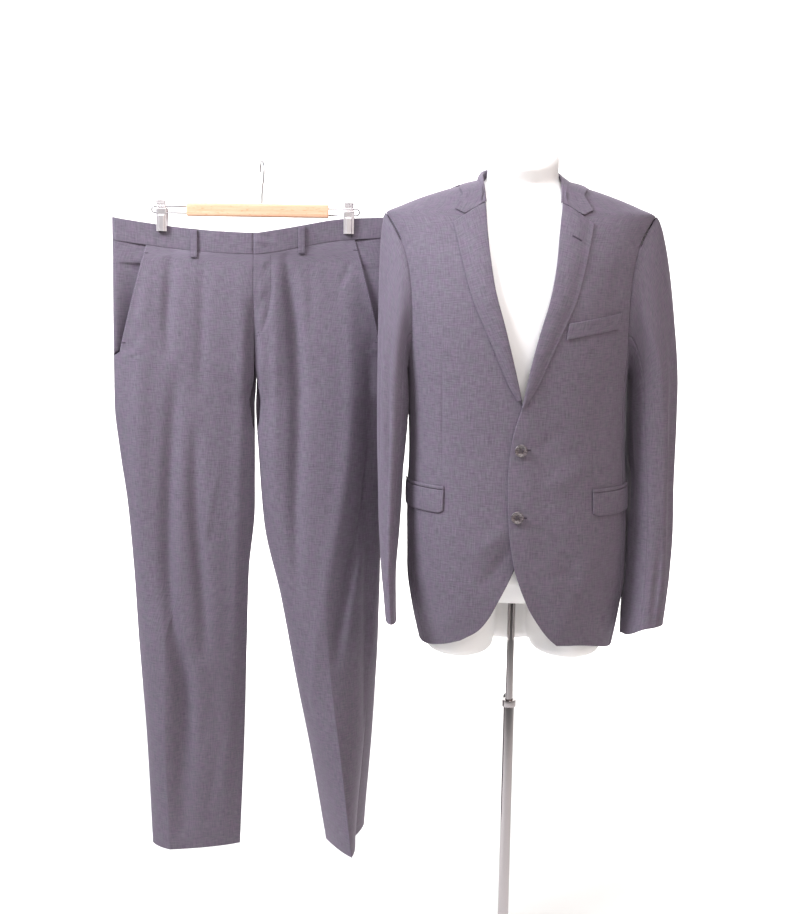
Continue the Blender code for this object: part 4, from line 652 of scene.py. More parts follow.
LAPEL = Table(
    "row fold_z edge_x edge_z",
    (0.00, 1.1250, 0.0022, 1.1235),
    (0.05, 1.1430, 0.0120, 1.1410),
    (0.11, 1.1600, 0.0228, 1.1590),
    (0.26, 1.2070, 0.0423, 1.2036),
    (0.41, 1.2540, 0.0619, 1.2479),
    (0.51, 1.2840, 0.0743, 1.2759),
    (0.65, 1.3260, 0.0869, 1.3144),
    (0.83, 1.3820, 0.0991, 1.3635),
    (1.00, 1.4330, 0.1083, 1.4035),
)
LAPEL_START = {1: 0.0, -1: 0.03}
LAPEL_ROLL = 0.0030
LAID_ON, LAID_WALL = 0.0009, 0.0018

for side_name, side in SIDES:
    row = LAPEL_START[side] + (1 - LAPEL_START[side]) * steps(84, 0.02)[:, None]
    across = steps(22, 0.06)[None, :]
    fold_z = LAPEL.at("fold_z", row)
    fold_x = FRONT_EDGE[side].at("x", fold_z) - side * 0.0006
    z = fold_z + (LAPEL.at("edge_z", row) - fold_z) * across
    x = fold_x + (side * LAPEL.at("edge_x", row) - fold_x) * across
    roll = LAPEL_ROLL * np.sin(np.pi * np.minimum(across + 0.15, 1.0)) * np.minimum(1.0, 3 * row + 0.2)
    grid = on_front(x, z, side, LAID_ON + LAID_WALL + roll)
    suit_piece("lapel_" + side_name, "figure", grid, -side, LAID_WALL,
               ("turned", "turned", "soft", "turned"), grain=across.shape[1] - 1,
               held="folded", rests_on=("jacket_front_" + side_name,))

# ---------------- collar
# One strip of the same cloth over a felt stand: it rises from the neck seam, folds over in a
# soft roll and falls on the shoulders, and its front ends are cut at the notch.

COLLAR = Table(
    "station neck_angle neck_z fold_x fold_y fold_z"
    " foot_angle foot_z middle_angle middle_z edge_angle edge_z",
    (0.0, 180, 1.4690, 0.0000, 0.0725, 1.4990, 180, 1.4660, 180, 1.4570, 180, 1.4460),
    (0.2, 151, 1.4690, 0.0335, 0.0630, 1.4970, 152, 1.4660, 152, 1.4575, 151, 1.4470),
    (0.4, 122, 1.4690, 0.0550, 0.0370, 1.4905, 122, 1.4670, 122, 1.4600, 120, 1.4500),
    (0.5, 106, 1.4690, 0.0615, 0.0185, 1.4865, 106, 1.4684, 106, 1.4650, 105, 1.4590),
    (0.6, 90, 1.4690, 0.0632, -0.0020, 1.4815, 90, 1.4690, 90, 1.4680, 90, 1.4655),
    (0.7, 66, 1.4690, 0.0622, -0.0210, 1.4755, 56, 1.4650, 60, 1.4610, 64, 1.4585),
    (0.8, 45, 1.4600, 0.0615, -0.0380, 1.4650, 38, 1.4560, 40, 1.4505, 43, 1.4470),
    (0.9, 38, 1.4470, 0.0605, -0.0500, 1.4510, 29, 1.4430, 32, 1.4335, 38, 1.4350),
    (1.0, 31, 1.4352, 0.0590, -0.0610, 1.4380, 25, 1.4262, 28, 1.4160, 34, 1.4235),
)
COLLAR_FOLD, COLLAR_OUT, COLLAR_WALL, STAND_INSET = 0.0060, 0.0035, 0.0018, 0.0014
NECK_RISE, FOLD_DROP = 0.0006, 0.0022


def smooth_through(points, fine):
    """A smooth curve through stacked points (points, ..., 3), read at the shares in fine."""
    count = len(points) - 1
    slopes = np.gradient(points, axis=0)
    i = np.clip((fine * count).astype(int), 0, count - 1)
    shape = (-1,) + (1,) * (points.ndim - 1)
    t = (fine * count - i).reshape(shape)
    return (
        points[i] * (1 + 2 * t) * (1 - t) ** 2
        + slopes[i] * t * (1 - t) ** 2
        + points[i + 1] * t * t * (3 - 2 * t)
        + slopes[i + 1] * t * t * (t - 1)
    )


stations = 2 * steps(120, 0.004) - 1
courses = []
for way in stations:
    side = 1 if way >= 0 else -1
    read = lambda column: COLLAR.at(column, abs(way))
    neck_z = float(read("neck_z"))
    if neck_z > NECKLINE_Z - 0.0003:
        neck = body_point(side * read("neck_angle"), NECKLINE_Z)
        neck = neck - unit(neck * (1, 1, 0)) * STAND_INSET + (0, 0, NECK_RISE)
    else:
        neck = on_front(FRONT_EDGE[side].at("x", neck_z) - side * STAND_INSET, neck_z, side, NECK_RISE)
    fold = np.array([side * read("fold_x"), read("fold_y"), read("fold_z")])
    foot, middle, edge = (
        on_body(side * read(part + "_angle"), read(part + "_z"), COLLAR_OUT)
        for part in ("foot", "middle", "edge")
    )
    outward = unit((foot - neck) * (1, 1, 0))
    width = COLLAR_FOLD * (1 - 0.35 * smooth_step((abs(way) - 0.7) / 0.3))
    inside = fold - outward * width / 2 - (0, 0, FOLD_DROP)
    outside = fold + outward * width / 2 - (0, 0, FOLD_DROP)
    courses.append([neck, (neck + inside) / 2, inside, fold, outside,
                    outside * 0.45 + foot * 0.55 + outward * 0.0008, foot, middle, edge])
courses = evened(np.array(courses).transpose(1, 0, 2), 3, axis=1)
fine = steps(40, 0.02)
grid = smooth_through(courses, fine).transpose(1, 0, 2)
spot = np.clip(fine * (len(courses) - 1), 0, len(courses) - 1.000001)
first = spot.astype(int)
mixed = (spot - first)[:, None, None]
straight = (courses[first] * (1 - mixed) + courses[first + 1] * mixed).transpose(1, 0, 2)
ended = smooth_step((np.abs(stations) - 0.86) / 0.10)[:, None, None] * (spot > 5.5)[None, :, None]
grid = grid + (straight - grid) * ended
suit_piece("collar", "figure", grid, 1, COLLAR_WALL, ("turned", "turned", "seam", "turned"),
           grain=grid.shape[1] - 1, held="folded", rests_on=("jacket_back_left", "jacket_back_right"))

# ---------------- sleeves
# Two-piece sleeves set into the armholes with a full, padded head. They hang free, a little
# forward, with soft lengthwise folds, a break at the elbow and plain slanting cuffs.

SLEEVE = {
    1: Table(
        "z x y half depth turn",
        (0.765, 0.2080, -0.0600, 0.0305, 0.0600, 6),
        (0.800, 0.2100, -0.0540, 0.0310, 0.0620, 8),
        (0.860, 0.2130, -0.0420, 0.0325, 0.0650, 10),
        (0.920, 0.2150, -0.0300, 0.0345, 0.0690, 10),
        (0.996, 0.2165, -0.0160, 0.0360, 0.0740, 8),
        (1.060, 0.2180, -0.0060, 0.0375, 0.0780, 4),
        (1.130, 0.2190, 0.0000, 0.0385, 0.0800, 0),
    ),
    -1: Table(
        "z x y half depth turn",
        (0.765, -0.1952, -0.0550, 0.0090, 0.0680, 0),
        (0.800, -0.1975, -0.0480, 0.0100, 0.0680, 0),
        (0.860, -0.2005, -0.0360, 0.0130, 0.0700, 0),
        (0.920, -0.2003, -0.0220, 0.0173, 0.0730, 0),
        (0.996, -0.1990, -0.0080, 0.0214, 0.0770, 0),
        (1.060, -0.1970, -0.0020, 0.0255, 0.0800, 0),
        (1.130, -0.1955, 0.0000, 0.0280, 0.0820, 0),
    ),
}
SLEEVE_TOP_Z, SLEEVE_HEM_Z, SLEEVE_WALL = 1.130, 0.765, 0.0018
SLEEVE_CLEAR, SLEEVE_CLEAR_OF_POCKET = 0.0028, 0.0060
CAP_REACH = {1: 0.016, -1: 0.012}
SLEEVE_FLATNESS = {1: 0.62, -1: 1.0}  # below 1 the front is flatter towards the body
CUFF_SLANT_TOP_Z = 0.900
CUFF_SLANT = {1: (-0.0022, 0.0164, -0.0066), -1: (0.0041, 0.0105, -0.0006)}
SEAM_WIDTH = 0.0003


def sleeve_ring(around, z, side):
    """The sleeve's outside: angle 0 faces the body, 90 the front, 180 away from the body."""
    row = SLEEVE[side]
    turn = np.radians(row.at("turn", z)) * side
    cosine, sine = np.cos(np.radians(around)), np.sin(np.radians(around))
    power = np.where((sine > 0) & (cosine > 0), SLEEVE_FLATNESS[side], 1.0)
    across = -side * row.at("half", z) * np.sign(cosine) * np.abs(cosine) ** power
    along = -row.at("depth", z) * np.sign(sine) * np.abs(sine) ** power
    return vectors(
        row.at("x", z) + across * np.cos(turn) - along * np.sin(turn),
        row.at("y", z) + across * np.sin(turn) + along * np.cos(turn),
        z,
    )


def clear_of_body(points, gap):
    """Moves what lies inside the jacket out to a gap from it."""
    z = np.minimum(points[..., 2], NECKLINE_Z)
    middle = BODY.at("middle", z)
    half = BODY.at("half", z) + gap
    depth = np.where(points[..., 1] < 0, BODY.at("front", z), BODY.at("back", z)) + gap
    power = BODY.at("square", z)
    x, y = points[..., 0] - middle, points[..., 1]
    reach = (np.abs(x / half) ** power + np.abs(y / depth) ** power) ** (1 / power)
    reach = np.minimum(reach, 1.0)
    return vectors(middle + x / reach, y / reach, points[..., 2])


def sleeve_cap(around, t, side):
    """The sleeve's head: t runs from the armhole's seam down to the full sleeve."""
    turn = np.mod(around, 360.0) / 360.0
    front = turn <= 0.5
    bite = np.where(front, FRONT_BITE, BACK_BITE)
    angle = armhole_angle(turn, bite)
    angle = side * np.where(front, angle, 180.0 - angle)
    z = armhole_z(turn)
    start = body_point(angle, z)
    normal_y = unit(on_body(angle, z, 0.01 + 0 * z) - start)[..., 1]
    finish = sleeve_ring(around, SLEEVE_TOP_Z + 0 * z, side)
    length = np.linalg.norm(finish - start, axis=-1)
    top = smooth_step((1 - np.cos(2 * np.pi * turn)) / 2)
    outward = unit(vectors(side + 0 * top, 0.25 * normal_y, 0.12 * top))
    leave = start + outward * (0.10 * length * (1 - top) + CAP_REACH[side] * top)[..., None]
    arrive = finish + vectors(0 * z, 0 * z, 0.45 * length)
    t = t + SEAM_WIDTH * 1.6 / np.maximum(length, 0.02) * (1 - t)
    s = t[..., None]
    points = (
        start * (1 - s) ** 3 + leave * 3 * s * (1 - s) ** 2
        + arrive * 3 * s * s * (1 - s) + finish * s ** 3
    )
    return clear_of_body(points, SLEEVE_CLEAR * smooth_step(t * 1.5) + SEAM_WIDTH * 1.2 * (1 - t))


def sleeve_grid(arounds, side):
    """The sleeve's outside from the armhole down to the cuff."""
    cap = steps(40, 0.03)[:-4]
    around, t = np.meshgrid(arounds, cap)
    head = sleeve_cap(around, t, side)
    z = SLEEVE_TOP_Z - (SLEEVE_TOP_Z - SLEEVE_HEM_Z) * steps(64, 0.01)[4:]
    around, z = np.meshgrid(arounds, z)
    over = smooth_step((z - 0.93) / 0.02) * smooth_step((1.03 - z) / 0.02)
    gap = SLEEVE_CLEAR + (SLEEVE_CLEAR_OF_POCKET - SLEEVE_CLEAR) * over
    middle, front, inner = CUFF_SLANT[side]
    slant = middle + front * np.sin(np.radians(around)) + inner * np.cos(np.radians(around))
    share = np.maximum(CUFF_SLANT_TOP_Z - z, 0.0) / (CUFF_SLANT_TOP_Z - SLEEVE_HEM_Z)
    lower = sleeve_ring(around, z, side)
    lower[..., 2] += slant * share
    return np.concatenate([head, clear_of_body(lower, gap)])


# Folds as (depth, width, lean, places...), each place an angle round the sleeve, in units of
# 100 degrees, and a height: so 0.04 across is 4 degrees, about 5 mm of cloth.
SLEEVE_FOLDS = {
    1: (
        (-0.0034, 0.085, 0.3, (1.52, 1.33), (1.46, 1.2), (1.42, 1.05), (1.38, 0.9), (1.36, 0.78)),
        (0.003, 0.08, 0.0, (1.28, 1.3), (1.24, 1.15), (1.2, 1.0), (1.17, 0.85)),
        (0.0026, 0.07, 0.0, (1.66, 1.25), (1.6, 1.1), (1.58, 0.95), (1.56, 0.8)),
        (0.0032, 0.07, 0.2, (1.1, 1.04), (1.3, 1.01), (1.6, 1.015)),
        (0.0024, 0.06, 0.0, (0.95, 0.98), (1.2, 0.95), (1.45, 0.96)),
        (-0.0024, 0.08, 0.0, (0.9, 1.32), (0.92, 1.22), (0.9, 1.12)),
        (0.0026, 0.06, 0.0, (0.86, 0.9), (0.9, 0.84), (0.88, 0.785)),
        (0.003, 0.09, 0.0, (2.2, 1.3), (2.24, 1.15), (2.2, 1.0), (2.26, 0.85)),
        (0.003, 0.07, 0.0, (2.05, 1.06), (2.3, 1.03), (2.6, 1.05)),
        (-0.0028, 0.09, 0.0, (2.46, 1.32), (2.44, 1.2), (2.5, 1.08)),
    ),
    -1: (
        (-0.0026, 0.08, 0.0, (1.3, 1.32), (1.28, 1.2), (1.25, 1.08), (1.22, 0.96)),
        (0.0028, 0.07, 0.2, (1.1, 1.3), (1.12, 1.18), (1.08, 1.05), (1.1, 0.92)),
        (0.0026, 0.06, 0.0, (0.95, 1.06), (1.15, 1.03), (1.4, 1.04)),
        (0.002, 0.06, 0.0, (0.95, 0.96), (1.1, 0.935), (1.3, 0.945)),
        (0.0022, 0.06, 0.0, (1.5, 1.25), (1.46, 1.12), (1.44, 1.0)),
        (0.0028, 0.08, 0.0, (2.25, 1.31), (2.2, 1.16), (2.24, 1.01), (2.2, 0.87)),
        (0.0026, 0.06, 0.0, (2.1, 1.04), (2.35, 1.015), (2.6, 1.03)),
        (-0.0024, 0.08, 0.0, (2.5, 1.3), (2.46, 1.18), (2.5, 1.06)),
    ),
}
UNDER_SLEEVE_FOLDS = (
    (0.0026, 0.07, 0.0, (0.1, 1.1), (0.14, 1.0), (0.08, 0.88)),
    (0.0028, 0.06, 0.0, (-0.3, 1.05), (0.0, 1.03), (0.35, 1.045)),
)
SLEEVE_CUT = (("top", 62.0, 302.0, 76), ("under", -58.0, 62.0, 34))  # from and to which angle, columns

for side_name, side in SIDES:
    for piece, low, high, count in SLEEVE_CUT:
        arounds = low + 0.14 + (high - low - 0.28) * steps(count, 0.02)
        grid = sleeve_grid(arounds, side)
        around = np.broadcast_to(arounds, grid.shape[:2])
        hold = smooth_step(np.minimum(around - low, high - around) / 14)
        hold = hold * smooth_step((arcs(grid)[1] - 0.004) / 0.03)
        folds = SLEEVE_FOLDS[side] if piece == "top" else UNDER_SLEEVE_FOLDS
        inward = troughs(around / 100, grid[..., 2], *folds) * hold
        suit_piece(f"sleeve_{piece}_{side_name}", "figure", grid, side, SLEEVE_WALL,
                   ("seam", "turned", "seam", "seam"), inward, len(arounds) // 2,
                   rests_on=("jacket_front_" + side_name,))

# ---------------- pocket flaps, jets and welt
# Flaps hang from jetted pockets over front and side panel, lined and pressed, with rounded
# corners. The breast welt is a folded strip that climbs towards the arm, sewn down at both ends.

POCKET_INNER = {1: 34.5, -1: 40.0}
POCKET_OUTER = 90.0
FLAP_HEIGHTS, JET_HEIGHTS, FLAP_CORNER = (0.9925, 0.9560), (0.9985, 0.9935), 0.005
WELT = Table(
    "along top_x top_z bottom_x bottom_z",
    (0, 0.0668, 1.2530, 0.0632, 1.2285), (1, 0.1512, 1.2690, 0.1462, 1.2445),
)
for side_name, side in SIDES:
    along = steps(60, 0.02)[None, :]
    angles = side * (POCKET_INNER[side] + (POCKET_OUTER - POCKET_INNER[side]) * along)
    for piece, (top, bottom), corner, rows in (
        ("flap", FLAP_HEIGHTS, FLAP_CORNER, 18), ("jet", JET_HEIGHTS, 0.0, 5)
    ):
        share = steps(rows, 0.05 if corner else 0.15)[:, None]
        near = np.maximum(1 - along / 0.10, 0) + np.maximum(1 - (1 - along) / 0.10, 0)
        low = bottom + corner * near ** 2.2
        z = top + (low - top) * share
        belly = 0.0006 * np.sin(np.pi * share) * (corner > 0)
        grid = on_body(angles + 0 * z, z, LAID_ON + LAID_WALL + belly)
        suit_piece(f"pocket_{piece}_{side_name}", "figure", grid, side, LAID_WALL, ("turned",) * 4,
                   grain=30, held="laid",
                   rests_on=("jacket_front_" + side_name, "jacket_side_" + side_name))

along, share = steps(60, 0.015)[None, :], steps(16, 0.06)[:, None]
x = WELT.at("top_x", along) * (1 - share) + WELT.at("bottom_x", along) * share
z = WELT.at("top_z", along) * (1 - share) + WELT.at("bottom_z", along) * share
z = z - 0.0006 * np.sin(np.pi * along) * (1 - share)
grid = on_front(x, z, 1, LAID_ON + LAID_WALL)
suit_piece("breast_welt", "figure", grid, 1, LAID_WALL, ("turned", "seam", "seam", "seam"),
           grain=30, held="laid", rests_on=("jacket_front_left",))

# ---------------- trousers: fronts and backs
# The same worsted, unlined: two fronts and two backs, joined at side, inside leg and fork. They
# hang flat from the clips, so long soft folds run down from the waist, and from the knee down
# the pressed creases stand out.

HANGER_Y, CENTRE_X, TROUSER_WALL, FORK_Z, MITRE_REACH = 0.120, -0.4355, 0.0014, 1.110, 0.004
WAIST = Table(
    "x top seam front back",
    (-0.6752, 1.4110, 1.3730, 0.1200, 0.1200),
    (-0.6700, 1.4100, 1.3720, 0.1172, 0.1228),
    (-0.5993, 1.3998, 1.3630, 0.1172, 0.1228),
    (-0.5822, 1.3975, 1.3608, 0.1172, 0.1228),
    (-0.5360, 1.3930, 1.3565, 0.1115, 0.1290),
    (-0.4870, 1.3895, 1.3535, 0.1045, 0.1360),
    (-0.4355, 1.3880, 1.3525, 0.1010, 0.1390),
    (-0.4000, 1.3930, 1.3565, 0.1025, 0.1380),
    (-0.3548, 1.4015, 1.3655, 0.1085, 0.1325),
    (-0.3113, 1.4100, 1.3740, 0.1145, 0.1260),
    (-0.2853, 1.4135, 1.3778, 0.1172, 0.1228),
    (-0.2160, 1.4172, 1.3830, 0.1172, 0.1228),
    (-0.2113, 1.4175, 1.3835, 0.1200, 0.1200),
)
WAIST_ENDS = {  # of each panel's waist: at its side, and at the centre front or back
    (1, -1): (-0.2668, -0.43535), (1, 1): (-0.2113, -0.43535),
    (-1, -1): (-0.6184, -0.43565), (-1, 1): (-0.6752, -0.43565),
}
LEG_COLUMNS = "z side_x side_y front_x front_y inner_x inner_front inner_back back_x back_y round crisp turn"
LEG = {
    -1: Table(
        LEG_COLUMNS,
        (0.305, -0.6184, 0.118, -0.5820, 0.0880, -0.4618, 0.1220, 0.1220, -0.5110, 0.1630, 1, 0.60, 0),
        (0.505, -0.6269, 0.118, -0.5880, 0.0800, -0.4535, 0.1220, 0.1220, -0.5180, 0.1630, 1, 0.50, 0),
        (0.680, -0.6389, 0.119, -0.5850, 0.0760, -0.4485, 0.1210, 0.1210, -0.5280, 0.1620, 1, 0.30, 0),
        (0.804, -0.6460, 0.120, -0.5600, 0.0810, -0.4450, 0.1200, 0.1200, -0.5370, 0.1610, 1, 0.20, 0),
        (0.923, -0.6555, 0.120, -0.5560, 0.0840, -0.4345, 0.1200, 0.1200, -0.5450, 0.1600, 1, 0.10, 0),
        (1.020, -0.6680, 0.120, -0.5560, 0.0870, -0.4345, 0.1200, 0.1200, -0.5520, 0.1580, 1, 0, 0),
        (1.095, -0.6755, 0.120, -0.5590, 0.0895, -0.4346, 0.1195, 0.1205, -0.5550, 0.1560, 0.9, 0, 0),
        (1.125, -0.6757, 0.120, -0.5600, 0.0905, -0.4348, 0.1070, 0.1380, -0.5550, 0.1560, 0.5, 0, 0),
        (1.170, -0.6757, 0.120, -0.5630, 0.0930, -0.4351, 0.0985, 0.1465, -0.5600, 0.1520, 0, 0, 0),
        (1.240, -0.6757, 0.120, -0.5700, 0.0980, -0.4354, 0.0975, 0.1465, -0.5650, 0.1460, 0, 0, 0),
        (1.300, -0.6755, 0.120, -0.5800, 0.1045, -0.4356, 0.0985, 0.1435, -0.5800, 0.1370, 0, 0, 0),
        (1.350, -0.6752, 0.120, -0.5907, 0.1140, -0.43565, 0.1005, 0.1395, -0.5907, 0.1260, 0, 0, 0),
    ),
    1: Table(
        LEG_COLUMNS,
        (0.308, -0.2570, 0.144, -0.2585, 0.0600, -0.3085, 0.1380, 0.1380, -0.2415, 0.2140, 1, 0.60, 1),
        (0.478, -0.2425, 0.131, -0.2785, 0.0610, -0.3363, 0.1280, 0.1280, -0.2370, 0.2060, 1, 0.50, 1),
        (0.638, -0.2315, 0.132, -0.2990, 0.0660, -0.3668, 0.1190, 0.1190, -0.2440, 0.1960, 1, 0.35, 1),
        (0.763, -0.2225, 0.140, -0.3080, 0.0720, -0.3901, 0.1200, 0.1200, -0.2660, 0.1870, 1, 0.20, 1),
        (0.893, -0.2145, 0.144, -0.3120, 0.0790, -0.4192, 0.1200, 0.1200, -0.2900, 0.1750, 1, 0.10, 0.3),
        (1.020, -0.2115, 0.140, -0.3120, 0.0850, -0.4290, 0.1200, 0.1200, -0.3000, 0.1650, 1, 0, 0),
        (1.095, -0.2108, 0.133, -0.3110, 0.0890, -0.4340, 0.1195, 0.1205, -0.3050, 0.1590, 0.9, 0, 0),
        (1.125, -0.2108, 0.120, -0.3110, 0.0905, -0.4344, 0.1070, 0.1380, -0.3050, 0.1560, 0.5, 0, 0),
        (1.170, -0.2108, 0.120, -0.3100, 0.0930, -0.4347, 0.0985, 0.1465, -0.3050, 0.1520, 0, 0, 0),
        (1.240, -0.2108, 0.120, -0.3030, 0.0980, -0.4350, 0.0975, 0.1465, -0.3000, 0.1460, 0, 0, 0),
        (1.300, -0.2110, 0.120, -0.2900, 0.1045, -0.4353, 0.0985, 0.1435, -0.2900, 0.1370, 0, 0, 0),
        (1.350, -0.2113, 0.120, -0.2768, 0.1140, -0.43535, 0.1005, 0.1395, -0.2768, 0.1260, 0, 0, 0),
    ),
}
LEG_TOP_Z, LEG_HEM, WAIST_UNDER = 1.335, {1: 0.308, -1: 0.305}, 0.0009
SLANT = {
    -1: Table("z x", (1.183, -0.6640), (1.3650, -0.6184)),
    1: Table("z x", (1.190, -0.2190), (1.2414, -0.2290), (1.3830, -0.2668)),
}
# The large folds that the backs hang in: x and z at the top and at the bottom, depth, width.
HANGING_FOLDS = {
    -1: (
        (-0.6, 1.3, -0.606, 0.9, 0.004, 0.014),
        (-0.5, 1.32, -0.52, 0.8, 0.0045, 0.015),
    ),
    1: (
        (-0.375, 1.31, -0.362, 0.85, 0.0045, 0.014),
        (-0.255, 1.25, -0.265, 0.9, 0.0035, 0.013),
    ),
}


def hanging_depth(leg, x, z):
    total = 0.0
    for top_x, top_z, bottom_x, bottom_z, depth, width in HANGING_FOLDS[leg]:
        share = np.clip((top_z - z) / (top_z - bottom_z), 0.0, 1.0)
        middle = top_x + (bottom_x - top_x) * share
        total += depth * np.sin(np.pi * share) ** 0.7 * np.exp(-(((x - middle) / width) ** 2))
    return total


def leg_point(leg, face, across, z):
    """The trousers' outside: across is 0 at the side seam, 1 at the crease, 2 at the inside seam."""
    row = LEG[leg]
    across, z = np.broadcast_arrays(np.asarray(across, float), np.asarray(z, float))
    read = lambda column: row.at(column, z)
    pair = lambda x, y: np.stack([x, y], axis=-1)
    side = pair(read("side_x"), read("side_y"))
    front = face < 0
    crease = pair(read("front_x" if front else "back_x"), read("front_y" if front else "back_y"))
    inner = pair(read("inner_x"), read("inner_front" if front else "inner_back"))
    outer_half = (across <= 1)[..., None]
    end = np.where(outer_half, side, inner)
    share = np.where(across <= 1, across, 2 - across)
    corner = pair(crease[..., 0], end[..., 1])
    corner = corner + ((side + inner) / 2 - corner) * read("turn")[..., None]
    quarter = np.pi / 2 * share[..., None]
    curved = corner + (end - corner) * np.cos(quarter) + (crease - corner) * np.sin(quarter)
    straight = end + (crease - end) * share[..., None]
    curved = np.where(outer_half, curved, straight + (curved - straight) * read("round")[..., None])
    place = curved + (straight - curved) * read("crisp")[..., None]
    y = place[..., 1] + face * SEAM_WIDTH / 2
    if not front:
        away = np.where(across <= 1, smooth_step(3 * share), smooth_step(2 * share))
        y = y - hanging_depth(leg, place[..., 0], z) * away
    return vectors(place[..., 0], y, z)


def waist_point(face, x, height=0.0):
    """The waistband's outside: height is 0 at its seam, 1 at its top."""
    y = WAIST.at("front" if face < 0 else "back", x) + face * SEAM_WIDTH / 2
    seam, top = WAIST.at("seam", x), WAIST.at("top", x)
    return vectors(x, y, seam + (top - seam) * height)


def slant_start(leg, z):
    """How far across the front the pocket mouth lies at each height."""
    mouth = SLANT[leg]
    z = np.asarray(z, float)
    low, high = np.zeros(z.shape), np.ones(z.shape)
    for _ in range(24):
        middle = (low + high) / 2
        beyond = (leg_point(leg, -1, middle, z)[..., 0] - mouth.at("x", z)) * leg > 0
        low, high = np.where(beyond, middle, low), np.where(beyond, high, middle)
    return np.where(z < mouth.keys[0], 0.0, low)


def trouser_grid(leg, face, shares):
    """A panel's outside, from its waist seam to its hem; shares run 0 to 2 across it."""
    share = np.concatenate([np.linspace(0, 0.985, 150), steps(3, 0.006)[-5:]])
    z = np.unique(np.round(LEG_TOP_Z - (LEG_TOP_Z - LEG_HEM[leg]) * share, 6))[::-1]
    start = slant_start(leg, z) if face < 0 else np.zeros(len(z))
    outer = start[:, None] + (1 - start)[:, None] * np.minimum(shares, 1)[None, :]
    across = np.where(shares[None, :] <= 1, outer, np.broadcast_to(shares, outer.shape))
    below = leg_point(leg, face, across, z[:, None])
    side_x, centre_x = WAIST_ENDS[leg, face]
    x = side_x + (centre_x - side_x) * shares / 2
    waist = waist_point(face, x) + (0, -face * WAIST_UNDER, WAIST_UNDER)
    fall = unit(below[1] - below[0])
    t = np.concatenate([steps(14, 0.05)[:-4], [1.0]])[:-1, None, None]
    span = np.linalg.norm(below[0] - waist, axis=-1)[None, :, None]
    bridge = (
        waist * (1 + 2 * t) * (1 - t) ** 2 + (below[0] - waist) * t * (1 - t) ** 2
        + below[0] * t * t * (3 - 2 * t) + fall * span * t * t * (t - 1)
    )
    return np.concatenate([bridge, below])


def seam_clamp(face, side_y, inner_y, side_x, inner_x):
    """Front and back stop at the plane of their seams, where they meet edge to edge."""
    def clamp(points):
        y = points[..., 1]
        for seam_y, seam_x, low_only in ((side_y, side_x, False), (inner_y, inner_x, True)):
            near = np.abs(points[..., 0] - seam_x[:, None]) < MITRE_REACH
            if low_only:
                near &= points[..., 2] < FORK_Z
            held = face * np.maximum(face * y, face * seam_y[:, None])
            y = np.where(near, held, y)
        return vectors(points[..., 0], y, points[..., 2])
    return clamp
